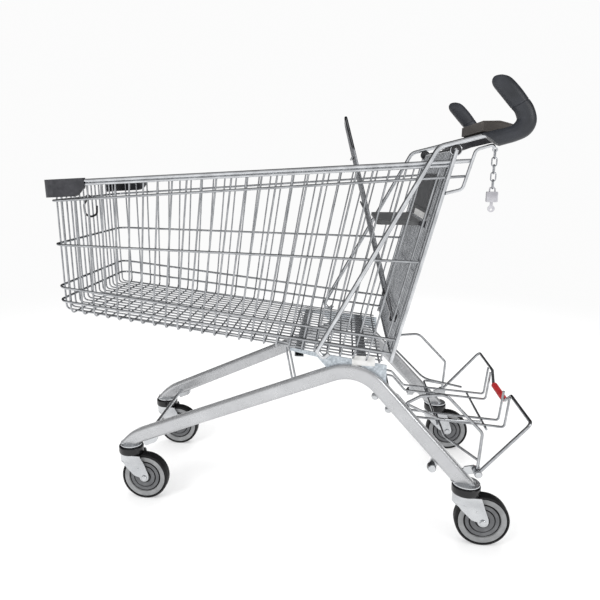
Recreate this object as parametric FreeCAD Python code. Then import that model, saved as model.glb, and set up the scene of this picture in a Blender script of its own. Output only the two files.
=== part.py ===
import FreeCAD, Part
import math
import os

os.makedirs("parts", exist_ok=True)

# Rolling basket trolley. Millimetres, +X to the rear (handle), +Y to the pusher's right, +Z up.
# Stations along the length are measured from the front swivel axis; FRONT_SWIVEL_X places that
# axis so that the origin falls under the middle of the trolley.
V = FreeCAD.Vector
FRONT_SWIVEL_X = -403.3
LEFT, RIGHT = -1, 1
CLEAR = 0.03            # gap between welded wires of one body
FIT = 0.05              # radial clearance of running fits

# ---------------------------------------------------------------- driving dimensions
WHEELBASE = 853.0
FRONT_SWIVEL_HALF, REAR_SWIVEL_HALF = 168.0, 253.0
WHEEL_R, WHEEL_W, TYRE_T = 62.5, 30.0, 5.5
TRAIL = 39.0
RACE_BOTTOM, RACE_TOP, RACE_R = 127.0, 149.0, 33.0
CROWN_LOW, CROWN_R, CROWN_T = 126.7, 30.0, 7.0
FORK_T, FORK_INNER = 3.0, 35.0
AXLE_R, STEM_R = 5.0, 6.0

TUBE_H, TUBE_W, TUBE_WALL, TUBE_CORNER = 37.0, 28.0, 1.8, 9.0
TUBE_BEND_R, NOSE_BEND_R = 100.0, 118.0
CAP_TOP, CAP_BOTTOM = 152.0, 149.5

SIDE_D, RING_D, RIM_D, RIM_LOW_D = 4.5, 6.0, 9.0, 6.5
FLOOR_D, FRONT_D, POST_D, ARM_D, GUARD_D = 4.0, 4.5, 9.0, 11.0, 7.0
SIDE_START, SIDE_PITCH, SIDE_COUNT = -123.0, 30.6, 26
FRONT_PITCH, FRONT_COUNT = 26.4, 16
SIDE_BEND_R, FRONT_BEND_R, CORNER_R = 18.0, 12.0, 28.0

KNOB_X, KNOB_Z = 784.0, 917.0        # gate hinge axis
GATE_FOOT_X, GATE_FOOT_Z = 668.0, 447.0
GATE_HALF, GATE_FRAME_D, GATE_WIRE_D = 224.0, 7.0, 4.0
SEAT_FOOT_X, SEAT_FOOT_Z = 674.8, 520.0
SEAT_LEAN = 0.263                    # forward lean of the seat back, mm per mm of height
SEAT_HINGE_X, SEAT_HINGE_Z = 731.0, 751.0
RACK_X, RACK_Z = 873.0, 185.0        # crate rack hinge axis


# ---------------------------------------------------------------- helpers
def at(station, y, z):
    return V(station + FRONT_SWIVEL_X, y, z)


def rod(p, q, d):
    axis = q - p
    return Part.makeCylinder(d / 2.0, axis.Length, p, axis)


def bend(before, corner, after, radius):
    """Start, middle and end of the arc that rounds the corner between two straight runs."""
    back = (before - corner).normalize()
    ahead = (after - corner).normalize()
    half = back.getAngle(ahead) / 2.0
    reach = radius / math.tan(half)
    inward = (back + ahead).normalize()
    middle = corner + inward * (radius / math.sin(half) - radius)
    return corner + back * reach, middle, corner + ahead * reach


def bent_line(points, radii):
    """Edges of a line through the points, each inner point rounded with its radius."""
    edges = []
    start = points[0]
    for i, radius in enumerate(radii, 1):
        arc_in, middle, arc_out = bend(points[i - 1], points[i], points[i + 1], radius)
        if (arc_in - start).Length > 0.01:
            edges.append(Part.makeLine(start, arc_in))
        edges.append(Part.Arc(arc_in, middle, arc_out).toShape())
        start = arc_out
    if (points[-1] - start).Length > 0.01:
        edges.append(Part.makeLine(start, points[-1]))
    return edges


def wire_sweep(edges, d):
    """Round wire of diameter d along the edges."""
    start = edges[0].valueAt(edges[0].FirstParameter)
    heading = edges[0].tangentAt(edges[0].FirstParameter)
    ring = Part.Wire(Part.Circle(start, heading, d / 2.0).toShape())
    return Part.Wire(edges).makePipeShell([ring], True, False)


def bent_rod(points, d, radii):
    """One wire of diameter d through the points, each inner point rounded with its bend radius."""
    return wire_sweep(bent_line(points, radii), d)


def rod_runs(points, d, radii):
    """The same wire as its straight runs and its bends, which meet face to face."""
    return [wire_sweep([edge], d) for edge in bent_line(points, radii)]


def prism(points, thickness_vector):
    return Part.Face(Part.makePolygon(points + [points[0]])).extrude(thickness_vector)


def box(low, high):
    size = high - low
    return Part.makeBox(size.x, size.y, size.z, low)


def mirror(shape):
    return shape.mirror(V(0, 0, 0), V(0, 1, 0))


def solid_list(shapes):
    found = []
    for shape in shapes:
        found.extend(shape.Solids)
    return found


def save(name, shapes):
    solids = solid_list(shapes)
    for solid in solids:
        if not solid.isValid() or solid.Volume <= 0:
            raise RuntimeError(name + " has an unsound solid")
    body = solids[0] if len(solids) == 1 else Part.makeCompound(solids)
    body.exportStep("parts/" + name + ".step")


# ---------------------------------------------------------------- casters
def caster_fork(x, y):
    """Pressed fork: a round crown, two tapering legs and a short curved skirt in front."""
    outline = [(-29, CROWN_LOW), (-26, 108), (-15, 94), (25, 55.5), (33, 51.5), (45, 51.5),
               (51.5, 58), (51.5, 70), (31, CROWN_LOW)]
    legs = []
    for side in (LEFT, RIGHT):
        points = [at(x + px, y + side * FORK_INNER / 2.0, pz) for px, pz in outline]
        legs.append(prism(points, V(0, side * FORK_T, 0)))
    crown = Part.makeCylinder(CROWN_R, CROWN_T, at(x, y, CROWN_LOW))
    skirt_low = 104.0
    skirt_height = CROWN_LOW - skirt_low
    skirt = Part.makeCylinder(31.5, skirt_height, at(x, y, skirt_low))
    skirt = skirt.cut(Part.makeCylinder(31.5 - FORK_T, skirt_height, at(x, y, skirt_low)))
    skirt = skirt.common(box(at(x - 40, y - FORK_INNER / 2.0 - 2, skirt_low - 1),
                             at(x - 10, y + FORK_INNER / 2.0 + 2, CROWN_LOW + 1)))
    fork = crown.fuse(legs + [skirt]).removeSplitter()
    stem_hole = Part.makeCylinder(STEM_R + FIT, 60, at(x, y, 100))
    axle_hole = Part.makeCylinder(AXLE_R, 60, at(x + TRAIL, y - 30, WHEEL_R), V(0, 1, 0))
    return fork.cut(stem_hole).cut(axle_hole)


def caster_race_cover(x, y):
    outer = Part.makeCylinder(RACE_R, RACE_TOP - RACE_BOTTOM, at(x, y, RACE_BOTTOM))
    outer = outer.makeChamfer(2.5, [e for e in outer.Edges if e.Closed and e.BoundBox.ZLength < 0.01])
    seat_depth = CROWN_LOW + CROWN_T + 0.02 - RACE_BOTTOM
    crown_seat = Part.makeCylinder(CROWN_R + 0.02, seat_depth, at(x, y, RACE_BOTTOM))
    hole = Part.makeCylinder(STEM_R + 4.0, 40, at(x, y, RACE_BOTTOM - 5))
    return outer.cut(crown_seat).cut(hole)


def wheel_profile(x, y, points):
    """Turned ring about the wheel axle; points are (radius, offset from the wheel's middle plane)."""
    ring = [at(x + TRAIL, y + offset, WHEEL_R + radius) for radius, offset in points]
    face = Part.Face(Part.makePolygon(ring + [ring[0]]))
    return face.revolve(at(x + TRAIL, y, WHEEL_R), V(0, 1, 0), 360)


def caster_tyre(x, y):
    half = WHEEL_W / 2.0
    rim = WHEEL_R - TYRE_T
    points = [(rim, -half), (rim, half), (WHEEL_R - 2.5, half), (WHEEL_R, half - 4),
              (WHEEL_R, 4 - half), (WHEEL_R - 2.5, -half)]
    return wheel_profile(x, y, points)


def caster_wheel(x, y):
    """Wheel centre with a stepped, dished side on both faces."""
    half = WHEEL_W / 2.0
    rim = WHEEL_R - TYRE_T - 0.02
    steps = [(AXLE_R + FIT, half + 1.5), (13, half + 1.5), (14, half - 2), (25, half - 2.5),
             (26, half - 4.5), (29, half - 4.5), (30, half - 2), (43, half - 1), (44, half - 4),
             (47, half - 4), (48, half - 0.5), (rim, half - 0.5)]
    points = steps + [(r, -offset) for r, offset in reversed(steps)]
    return wheel_profile(x, y, points)


def caster_axle(x, y):
    reach = FORK_INNER / 2.0 + FORK_T
    start = at(x + TRAIL, y - reach, WHEEL_R)
    shank = Part.makeCylinder(AXLE_R, 2 * reach, start, V(0, 1, 0))
    head = Part.makeCylinder(7.0, 4.0, start, V(0, -1, 0))
    nut = Part.makeCylinder(7.0, 4.0, at(x + TRAIL, y + reach, WHEEL_R), V(0, 1, 0))
    axle = shank.fuse([head, nut]).removeSplitter()
    ends = [e for e in axle.Edges if e.Closed and abs(e.BoundBox.XLength - 14.0) < 0.01
            and abs(abs(e.BoundBox.Center.y - y) - reach - 4.0) < 0.01]
    return axle.makeChamfer(1.0, ends)


def swivel_stem(x, y):
    head_low = 120.0
    shank = Part.makeCylinder(STEM_R, CAP_BOTTOM - head_low, at(x, y, head_low))
    head = Part.makeCylinder(9.0, CROWN_LOW - 0.3 - head_low, at(x, y, head_low))
    return shank.fuse(head).removeSplitter()


CASTERS = {
    "fl": (0.0, LEFT * FRONT_SWIVEL_HALF),
    "fr": (0.0, RIGHT * FRONT_SWIVEL_HALF),
    "rl": (WHEELBASE, LEFT * REAR_SWIVEL_HALF),
    "rr": (WHEELBASE, RIGHT * REAR_SWIVEL_HALF),
}
for key, (cx, cy) in CASTERS.items():
    save("caster_%s_fork" % key, [caster_fork(cx, cy)])
    save("caster_%s_race_cover" % key, [caster_race_cover(cx, cy)])
    save("caster_%s_tyre" % key, [caster_tyre(cx, cy)])
    save("caster_%s_wheel" % key, [caster_wheel(cx, cy)])
    save("caster_%s_axle" % key, [caster_axle(cx, cy)])
save("swivel_stems", [swivel_stem(cx, cy) for cx, cy in CASTERS.values()])


# ---------------------------------------------------------------- chassis
SPREAD = (REAR_SWIVEL_HALF - FRONT_SWIVEL_HALF) / WHEELBASE


def tube_half(station):
    return FRONT_SWIVEL_HALF + SPREAD * station


def on_tube_plane(station, z, side):
    return at(station, side * tube_half(station), z)


# centreline corners of a side tube: nose, front leg, top bend, rear leg
TUBE_LINE = [(-28.4, 112.2), (0.5, 166.5), (597.1, 420.7), (880.0, 117.3)]


def tube_sweep(side, grow):
    """Rounded rectangular section, grown by the given amount, swept along the side tube's line."""
    points = [on_tube_plane(s, z, side) for s, z in TUBE_LINE]
    path = Part.Wire(bent_line(points, [NOSE_BEND_R, TUBE_BEND_R]))
    heading = (points[1] - points[0]).normalize()
    across = (points[2] - points[1]).cross(heading).normalize()
    up = heading.cross(across).normalize()
    corner = TUBE_CORNER + grow
    half_w, half_h = TUBE_W / 2.0 + grow, TUBE_H / 2.0 + grow
    cos45 = math.cos(math.pi / 4)
    outline = []
    corners = []
    for sw, sh in ((1, 1), (-1, 1), (-1, -1), (1, -1)):
        corners.append((sw * (half_w - corner), sh * (half_h - corner), sw, sh))
    spot = []
    for cw, ch, sw, sh in corners:
        side_point = (cw + sw * corner, ch)
        top_point = (cw, ch + sh * corner)
        mid_point = (cw + sw * corner * cos45, ch + sh * corner * cos45)
        ends = (side_point, mid_point, top_point) if sw * sh > 0 else (top_point, mid_point, side_point)
        spot.append([points[0] + across * a + up * b for a, b in ends])
    for i in range(4):
        outline.append(Part.Arc(*spot[i]).toShape())
        outline.append(Part.makeLine(spot[i][2], spot[(i + 1) % 4][0]))
    return path.makePipeShell([Part.Wire(outline)], True, False)


def chassis_tube(side):
    tube = tube_sweep(side, 0.0).cut(tube_sweep(side, -TUBE_WALL))
    below = box(at(-200, -400, 0), at(1100, 400, CAP_TOP))
    return tube.cut(below)


COLLAR_T, COLLAR_H = 1.5, 4.0


def end_cap(x, y, plate_r, sweep, grown):
    """Metal cap: a flat washer on the swivel with a thin collar round the tube end."""
    plate = Part.makeCylinder(plate_r, CAP_TOP - CAP_BOTTOM, at(x, y, CAP_BOTTOM))
    band = box(at(x - 60, y - 60, CAP_TOP), at(x + 60, y + 60, CAP_TOP + COLLAR_H))
    collar = grown.common(band).cut(sweep)
    return plate.fuse(collar).removeSplitter()


def cross_members(sweeps):
    """Rod between the tube noses and two hollow bars under the basket floor."""
    nose_x, nose_z = 50.0, 180.0
    reach = tube_half(nose_x)
    nose_rod = rod(at(nose_x, -reach, nose_z), at(nose_x, reach, nose_z), 10.0)
    pieces = [nose_rod]
    for station, top in ((452.0, 446.8), (602.0, 429.2)):
        half = tube_half(station) - 4.0
        low = at(station - 12, -half, top - 20)
        high = at(station + 12, half, top)
        bar = box(low, high)
        bar = bar.makeFillet(3.0, [e for e in bar.Edges if e.BoundBox.YLength > 50])
        hollow = box(low + V(2, -1, 2), high + V(-2, 1, -2))
        pieces.append(bar.cut(hollow))
    trimmed = [piece.cut(sweeps) for piece in pieces]
    return [max(piece.Solids, key=lambda s: s.Volume) for piece in trimmed]


def support_plate(side, sweep):
    """Zinc plate standing on the tube's bend and carrying the basket floor."""
    outline = [(430, 450.5), (430, 443), (497, 431), (521, 405), (521, 380), (600, 380), (660, 340),
               (660, 350), (660, 424)]
    sheet = 3.0
    points = [on_tube_plane(s, z, side) + V(0, -side * sheet / 2.0, 0) for s, z in outline]
    slot = prism([at(s, -400, z) for s, z in ((592.5, 416.5), (594, 420), (607, 414), (605.5, 410.5))],
                 V(0, 800, 0))
    bolt_hole = Part.makeCylinder(3.2, 800, at(641, -400, 438), V(0, 1, 0))
    plate = prism(points, V(0, side * sheet, 0)).cut([sweep, slot, bolt_hole])
    return max(plate.Solids, key=lambda s: s.Volume)


def support_stay(side, offset):
    top = at(419 + offset, side * (tube_half(419) - 10), 447)
    foot = at(436 + offset, side * (tube_half(436) - 2), 368.5 + offset * 0.42)
    return rod(foot, top, 5.0)


def front_lug(side, sweep):
    """Small foot under the front end of the side tube."""
    outline = [(40, 172), (40, 157), (45, 152.5), (70, 163), (75.5, 168.5), (75.5, 184)]
    half = 7.0
    points = [at(s, side * tube_half(58) - half, z) for s, z in outline]
    lug = prism(points, V(0, 2 * half, 0)).cut(sweep)
    return min(lug.Solids, key=lambda s: s.BoundBox.ZMin)


def stop_button(side, station, z, sweep):
    """Small rounded button on the underside of the rear leg."""
    button = Part.makeSphere(9.0, on_tube_plane(station, z, side)).cut(sweep)
    return min(button.Solids, key=lambda s: s.CenterOfMass.z)


tubes = {side: tube_sweep(side, 0.0) for side in (LEFT, RIGHT)}
save("chassis_tube_left", [chassis_tube(LEFT)])
save("chassis_tube_right", [chassis_tube(RIGHT)])
grown_tubes = {side: tube_sweep(side, COLLAR_T) for side in (LEFT, RIGHT)}
caps = []
for cx, cy in CASTERS.values():
    side = LEFT if cy < 0 else RIGHT
    caps.append(end_cap(cx, cy, 28.5 if cx < WHEELBASE / 2 else 31.0, tubes[side], grown_tubes[side]))
save("chassis_end_caps", caps)
save("chassis_cross_members", cross_members(list(tubes.values())))
save("support_plates", [support_plate(side, tubes[side]) for side in (LEFT, RIGHT)])
stays = [support_stay(side, offset).cut(tubes[side]) for side in (LEFT, RIGHT) for offset in (0.0, 8.0)]
save("support_stays", [max(stay.Solids, key=lambda s: s.Volume) for stay in stays])
lugs = [front_lug(side, tubes[side]) for side in (LEFT, RIGHT)]
for side in (LEFT, RIGHT):
    lugs.append(stop_button(side, 636.0, 345.0, tubes[side]))
    lugs.append(stop_button(side, 668.0, 315.0, tubes[side]))
save("chassis_lugs", lugs)

# nesting rollers below the rear legs
ROLLER_X, ROLLER_Z, ROLLER_R, ROLLER_W, ROLLER_PIN_R = 772.0, 184.0, 10.0, 14.0, 4.0


def roller_bracket(side, sweep):
    """Block under the leg with a stub pin and its light end cap."""
    inner = tube_half(ROLLER_X) - 9.0
    outline = [(ROLLER_X - 9, ROLLER_Z - 8), (ROLLER_X + 8, ROLLER_Z - 8), (ROLLER_X + 36, 214),
               (ROLLER_X + 12, 236)]
    block_points = [at(s, side * inner, z) for s, z in outline]
    block = prism(block_points, V(0, side * 8.0, 0)).cut(sweep)
    block = min(block.Solids, key=lambda s: s.BoundBox.ZMin)
    face = inner + 8.0
    pin_start = at(ROLLER_X, side * face, ROLLER_Z)
    pin = Part.makeCylinder(ROLLER_PIN_R, ROLLER_W + 1.0, pin_start, V(0, side, 0))
    cap_start = at(ROLLER_X, side * (face + ROLLER_W + 1.0), ROLLER_Z)
    cap = Part.makeCylinder(9.0, 4.0, cap_start, V(0, side, 0))
    cap_end = face + ROLLER_W + 5.0
    end_edge = [e for e in cap.Edges if e.Closed and abs(abs(e.BoundBox.Center.y) - cap_end) < 0.01]
    cap = cap.makeChamfer(1.2, end_edge)
    return block.fuse([pin, cap]).removeSplitter()


def nesting_roller(side):
    start = at(ROLLER_X, side * (tube_half(ROLLER_X) - 0.5), ROLLER_Z)
    drum = Part.makeCylinder(ROLLER_R, ROLLER_W, start, V(0, side, 0))
    drum = drum.makeChamfer(1.5, [e for e in drum.Edges if e.Closed and e.BoundBox.YLength < 0.01])
    bore = Part.makeCylinder(ROLLER_PIN_R + FIT, 40, start - V(0, side * 5, 0), V(0, side, 0))
    return drum.cut(bore)


save("nesting_roller_brackets", [roller_bracket(side, tubes[side]) for side in (LEFT, RIGHT)])
save("nesting_roller_left", [nesting_roller(LEFT)])
save("nesting_roller_right", [nesting_roller(RIGHT)])


# ---------------------------------------------------------------- basket
def ring_half(station):
    """Half width to the centre of the ring wires, which flares to the rear."""
    return 227.0 + 0.0275 * (station + 160.0)


def side_half(station):
    return ring_half(station) - (RING_D + SIDE_D) / 2.0 - CLEAR


def front_station(z):
    """Station of the front wires, which lean out a little at the top."""
    return -146.5 - 0.0363 * (z - 519.0)


def floor_z(station):
    """Height of the side wires' floor legs, which slope down to the rear."""
    return 521.0 - 0.1174 * (station + 146.0)


def line_z(line, station):
    (s0, z0), (s1, z1) = line
    return z0 + (z1 - z0) * (station - s0) / (s1 - s0)


def post_station(z):
    return GATE_FOOT_X + (z - GATE_FOOT_Z) * (KNOB_X - GATE_FOOT_X) / (KNOB_Z - GATE_FOOT_Z)


RIM_LINE = ((-55.0, 850.0), (775.0, 892.0))
RIM_LOW_LINE = ((-55.0, 842.0), (775.0, 884.0))
RING_LINES = (
    ((-162.0, 800.0), (768.0, 859.0)),
    ((-160.0, 693.0), (720.0, 672.5)),
    ((-156.0, 587.0), (665.0, 491.5)),
    ((-154.0, 552.0), (660.0, 458.0)),
)


def ring_wires(line, d, rear):
    """Front run, two corner bends and two side runs of one level."""
    front_z = line_z(line, -160.0)
    front = front_station(front_z) - (FRONT_D + d) / 2.0 - CLEAR
    grow = (d - RING_D) / 2.0
    tangent = CORNER_R + 2.0

    def spot(station, side):
        return at(station, side * (ring_half(station) + grow), line_z(line, station))

    pieces = []
    corners = {side: spot(front, side) for side in (LEFT, RIGHT)}
    for side in (LEFT, RIGHT):
        along = (spot(rear, side) - corners[side]).normalize()
        across = (corners[-side] - corners[side]).normalize()
        side_start = corners[side] + along * tangent
        front_start = corners[side] + across * tangent
        pieces.append(bent_rod([side_start, corners[side], front_start], d, [CORNER_R]))
        pieces.append(rod(side_start, spot(rear, side), d))
    pieces.append(rod(corners[LEFT] + V(0, tangent, 0), corners[RIGHT] - V(0, tangent, 0), d))
    return pieces


GUARD_JOIN_RIM, GUARD_JOIN_RING = 819.0, 806.0
upper_rim = ring_wires(RIM_LINE, RIM_D, GUARD_JOIN_RIM)
lower_rim = ring_wires(RIM_LOW_LINE, RIM_LOW_D, 782.0)
save("basket_rim", upper_rim + lower_rim)
ring_ends = (GUARD_JOIN_RING, post_station(673) + 3, post_station(491) + 3, post_station(458) + 3)
rings = []
for ring_line, ring_end in zip(RING_LINES, ring_ends):
    rings.extend(ring_wires(ring_line, RING_D, ring_end))
save("basket_rings", rings)


def side_wire_ends(index, side):
    """Top end and floor corner of a side wire; the wires lean more towards the rear."""
    foot = SIDE_START + SIDE_PITCH * index
    top = -162.0 + 1.166 * (foot + 146.0)
    high = at(top, side * (side_half(top) - 0.3), line_z(RIM_LINE, top) - 1.0)
    return high, at(foot, side * side_half(foot), floor_z(foot))


def side_bend(index, side):
    """Arc between a side wire and its floor wire."""
    high, low = side_wire_ends(index, side)
    return bend(high, low, low - V(0, side * SIDE_BEND_R, 0), SIDE_BEND_R)


def side_wire(index, side):
    """Side wire down from the rim, and its bend into the floor."""
    high = side_wire_ends(index, side)[0]
    arc_in, middle, arc_out = side_bend(index, side)
    turn = Part.Arc(arc_in, middle, arc_out).toShape()
    return [rod(high, arc_in, SIDE_D), wire_sweep([turn], SIDE_D)]


def floor_cross_wire(index):
    return rod(side_bend(index, LEFT)[2], side_bend(index, RIGHT)[2], SIDE_D)


for name, side in (("left", LEFT), ("right", RIGHT)):
    wires = []
    for i in range(SIDE_COUNT):
        wires.extend(side_wire(i, side))
    save("basket_side_wires_" + name, wires)
save("basket_floor_cross_wires", [floor_cross_wire(i) for i in range(SIDE_COUNT)])

LONG_RISE = (SIDE_D + FLOOR_D) / 2.0 + 0.1
FLOOR_REAR = 650.0
FLOOR_EDGE_FRONT = -116.0


def front_y(index):
    return (index - (FRONT_COUNT - 1) / 2.0) * FRONT_PITCH


def front_bend(y):
    """Top of a front wire, and the arc at its foot."""
    top_z = line_z(RIM_LINE, -165.0) - 1.0
    low = floor_z(-146.0) + LONG_RISE
    top = at(front_station(top_z), y, top_z)
    ahead = at(-120.0, y, floor_z(-120.0) + LONG_RISE)
    return top, bend(top, at(front_station(low), y, low), ahead, FRONT_BEND_R)


def front_wire(y):
    """Front wire down from the rim, and its bend into the floor."""
    top, (arc_in, middle, arc_out) = front_bend(y)
    turn = Part.Arc(arc_in, middle, arc_out).toShape()
    return [rod(top, arc_in, FRONT_D), wire_sweep([turn], FRONT_D)]


def floor_long_wire(y):
    start = front_bend(y)[1][2]
    return rod(start, at(FLOOR_REAR, y, floor_z(FLOOR_REAR) + LONG_RISE), FLOOR_D)


def floor_edge_wire(side):
    """Floor wire that follows the inside of the side wires' bends."""
    inset = SIDE_BEND_R + 1.5
    ends = []
    for station in (FLOOR_EDGE_FRONT, FLOOR_REAR):
        ends.append(at(station, side * (side_half(station) - inset), floor_z(station) + LONG_RISE))
    return rod(ends[0], ends[1], FLOOR_D)


front_wires = []
for i in range(FRONT_COUNT):
    front_wires.extend(front_wire(front_y(i)))
save("basket_front_wires", front_wires)
long_wires = [floor_long_wire(front_y(i)) for i in range(FRONT_COUNT)]
save("basket_floor_long_wires", long_wires + [floor_edge_wire(LEFT), floor_edge_wire(RIGHT)])

# rear posts, guard loops and handle arms
POST_HALF_FOOT = ring_half(668) + (RING_D + POST_D) / 2.0 + CLEAR
POST_HALF_TOP = ring_half(784) + RIM_D - RING_D + (RING_D + POST_D) / 2.0 + CLEAR


def rear_post(side):
    foot = at(GATE_FOOT_X - 2, side * POST_HALF_FOOT, GATE_FOOT_Z - 8)
    return rod(foot, at(KNOB_X, side * POST_HALF_TOP, KNOB_Z), POST_D)


save("rear_posts", [rear_post(side) for side in (LEFT, RIGHT)])

GUARD_HALF = POST_HALF_TOP + 1.0
EYE_X, EYE_Z, EYE_R, EYE_T, EYE_HOLE_R = 861.5, 917.0, 5.5, 3.4, 2.6


def guard_loop(side):
    """Bent rod behind the post: out, up past the rim ends, then back to a thin eye under the grip."""
    y = side * GUARD_HALF
    bend_top = at(857, y, 927)
    eye_centre = at(EYE_X, y, EYE_Z)
    rod_end = eye_centre + (bend_top - eye_centre).normalize() * (EYE_R - 1.0)
    points = [at(760, y, 824), at(800, y, 834), at(823, y, 917), bend_top, rod_end]
    runs = rod_runs(points, GUARD_D, [14.0, 14.0, 5.0])
    weld = POST_D / 2.0 + 0.2
    post_space = prism([at(post_station(z) + weld + back, y - 10, z) for z, back in
                        ((800, 0), (850, 0), (850, -30), (800, -30))], V(0, 20, 0))
    eye = Part.makeCylinder(EYE_R, EYE_T, eye_centre - V(0, EYE_T / 2.0, 0), V(0, 1, 0))
    hole = Part.makeCylinder(EYE_HOLE_R, 2 * EYE_T, eye_centre - V(0, EYE_T, 0), V(0, 1, 0))
    runs[0] = runs[0].cut(post_space)
    runs[-1] = runs[-1].fuse(eye).cut(hole)
    return runs


save("guard_loops", guard_loop(LEFT) + guard_loop(RIGHT))

ARM_HALF_FOOT = ring_half(505) + (RING_D + ARM_D) / 2.0 + CLEAR
ARM_HALF_TOP = ring_half(748) + RIM_D - RING_D + (RING_D + ARM_D) / 2.0 + 2.0


ARM_BEND_AT, ARM_END_AT = (747.0, 923.5), (866.0, 953.7)


def arm_z(station):
    """Height of the arm's centreline between its upper bend and its end in the grip."""
    (start, low), (end, high) = ARM_BEND_AT, ARM_END_AT
    return low + (high - low) * (station - start) / (end - start)


def handle_arm(side):
    """Long rod: hooked foot beside the floor, straight up the side, then back into the grip."""
    foot_y, top_y = side * ARM_HALF_FOOT, side * ARM_HALF_TOP
    points = [at(524, foot_y, 452), at(512, foot_y, 440), at(497, foot_y, 458),
              at(ARM_BEND_AT[0], top_y, ARM_BEND_AT[1]), at(ARM_END_AT[0], top_y, ARM_END_AT[1])]
    return rod_runs(points, ARM_D, [7.5, 7.5, 26.0])


# ---------------------------------------------------------------- handle
# oval sections of a horn grip: centre station, centre z, heading angle, half depth, half width
GRIP_SECTIONS = [
    (822.0, 930.0, 14.5, 18.5, 17.5),
    (850.0, 937.0, 14.5, 17.6, 17.5),
    (876.0, 943.8, 15.0, 16.9, 17.6),
    (896.0, 949.8, 20.0, 17.1, 17.8),
    (913.0, 961.5, 42.0, 20.0, 18.3),
    (919.0, 977.0, 78.0, 19.8, 18.5),
    (913.0, 997.0, 108.0, 18.5, 18.4),
    (901.5, 1012.0, 122.0, 18.7, 18.0),
    (885.0, 1032.0, 127.0, 19.0, 17.2),
    (868.5, 1049.5, 132.0, 18.2, 16.0),
    (857.5, 1056.7, 140.0, 14.2, 13.2),
    (850.5, 1060.0, 146.0, 8.5, 8.5),
    (847.2, 1062.0, 150.0, 3.5, 4.0),
]
GRIP_MOUTH = [(797.0, 973.7), (899.5, 903.0), (780.0, 860.0), (760.0, 973.7)]
GRIP_HALF = ARM_HALF_TOP


def horn_grip(side):
    """Grip that runs back from its slanted mouth and curls up and forward into a horn."""
    wires = []
    for station, z, angle, depth, width in GRIP_SECTIONS:
        heading = math.radians(angle)
        normal = V(-math.sin(heading), 0, math.cos(heading))
        centre = at(station, side * GRIP_HALF, z)
        turns = [2 * math.pi * i / 12.0 for i in range(12)]
        oval = Part.BSplineCurve()
        rim_points = [centre + normal * (depth * math.cos(t)) + V(0, width * math.sin(t), 0) for t in turns]
        oval.interpolate(rim_points, PeriodicFlag=True)
        wires.append(Part.Wire(oval.toShape()))
    mouth = [at(station, side * GRIP_HALF - 30, z) for station, z in GRIP_MOUTH]
    return Part.makeLoft(wires, True, False).cut(prism(mouth, V(0, 60, 0)))


def arm_socket(side):
    y = side * ARM_HALF_TOP
    return rod(at(815, y, arm_z(815)), at(ARM_END_AT[0], y, ARM_END_AT[1]), ARM_D + 0.04)


grips = {side: horn_grip(side).cut(arm_socket(side)) for side in (LEFT, RIGHT)}
save("handle_arms", handle_arm(LEFT) + handle_arm(RIGHT))

BAR_HALF = GRIP_HALF - 12.0
BLOCK_HALF, HOUSING_HALF = 129.0, 135.0


def y_prism(section, half):
    """Section of (station, z) corners, extruded to the given half-length on both sides of the middle."""
    return prism([at(s, -half, z) for s, z in section], V(0, 2 * half, 0))


def round_long_edges(shape, radius):
    return shape.makeFillet(radius, [e for e in shape.Edges if e.BoundBox.YLength > 100])


def handle_crossbar():
    """Push bar between the grips and the raised, deeper block on its middle, which meet face to face."""
    bar_section = [(868, 946), (867, 955), (873, 959), (905, 967), (912, 961), (911, 951), (901, 944),
                   (880, 942)]
    bar = round_long_edges(y_prism(bar_section, BAR_HALF), 3.0)
    block_section = [(862, 963), (862, 986.5), (899, 986.5), (916, 982), (932, 977), (934, 966), (905, 958)]
    block = round_long_edges(y_prism(block_section, BLOCK_HALF), 3.0)
    ends = [e for e in block.Edges if e.BoundBox.YLength < 0.01 and e.BoundBox.ZMin > 970]
    block = block.makeFillet(2.0, ends)
    return Part.makeCompound([bar.cut(block), block])


crossbar = handle_crossbar()
save("handle_crossbar", [crossbar])
save("horn_grip_left", [grips[LEFT].cut(crossbar)])
save("horn_grip_right", [grips[RIGHT].cut(crossbar)])


def handle_housing():
    """Dark housing that hangs below the bar, between the two arms."""
    section = [(816, 920.5), (813, 930), (864, 954), (872, 952), (884, 946), (892, 941), (887, 937.3)]
    return y_prism(section, HOUSING_HALF).cut(crossbar)


save("handle_housing", [handle_housing()])

# ---------------------------------------------------------------- front bumpers and bag hook
BUMPER_TILT = math.degrees(math.atan(0.05))


def front_outer_edges(shape, front, outer):
    """Upright edges of a box at its front outer corner."""
    front_x = FRONT_SWIVEL_X + front + 1
    return [e for e in shape.Edges
            if e.BoundBox.ZLength > 30 and e.BoundBox.XMax < front_x and e.BoundBox.YMax > outer - 1]


def bumper_block(front, rear, inner, outer, low, high, corner_r):
    """Box with its upright front outer corner rounded."""
    block = box(at(front, inner, low), at(rear, outer, high))
    return block.makeFillet(corner_r, front_outer_edges(block, front, outer))


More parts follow.
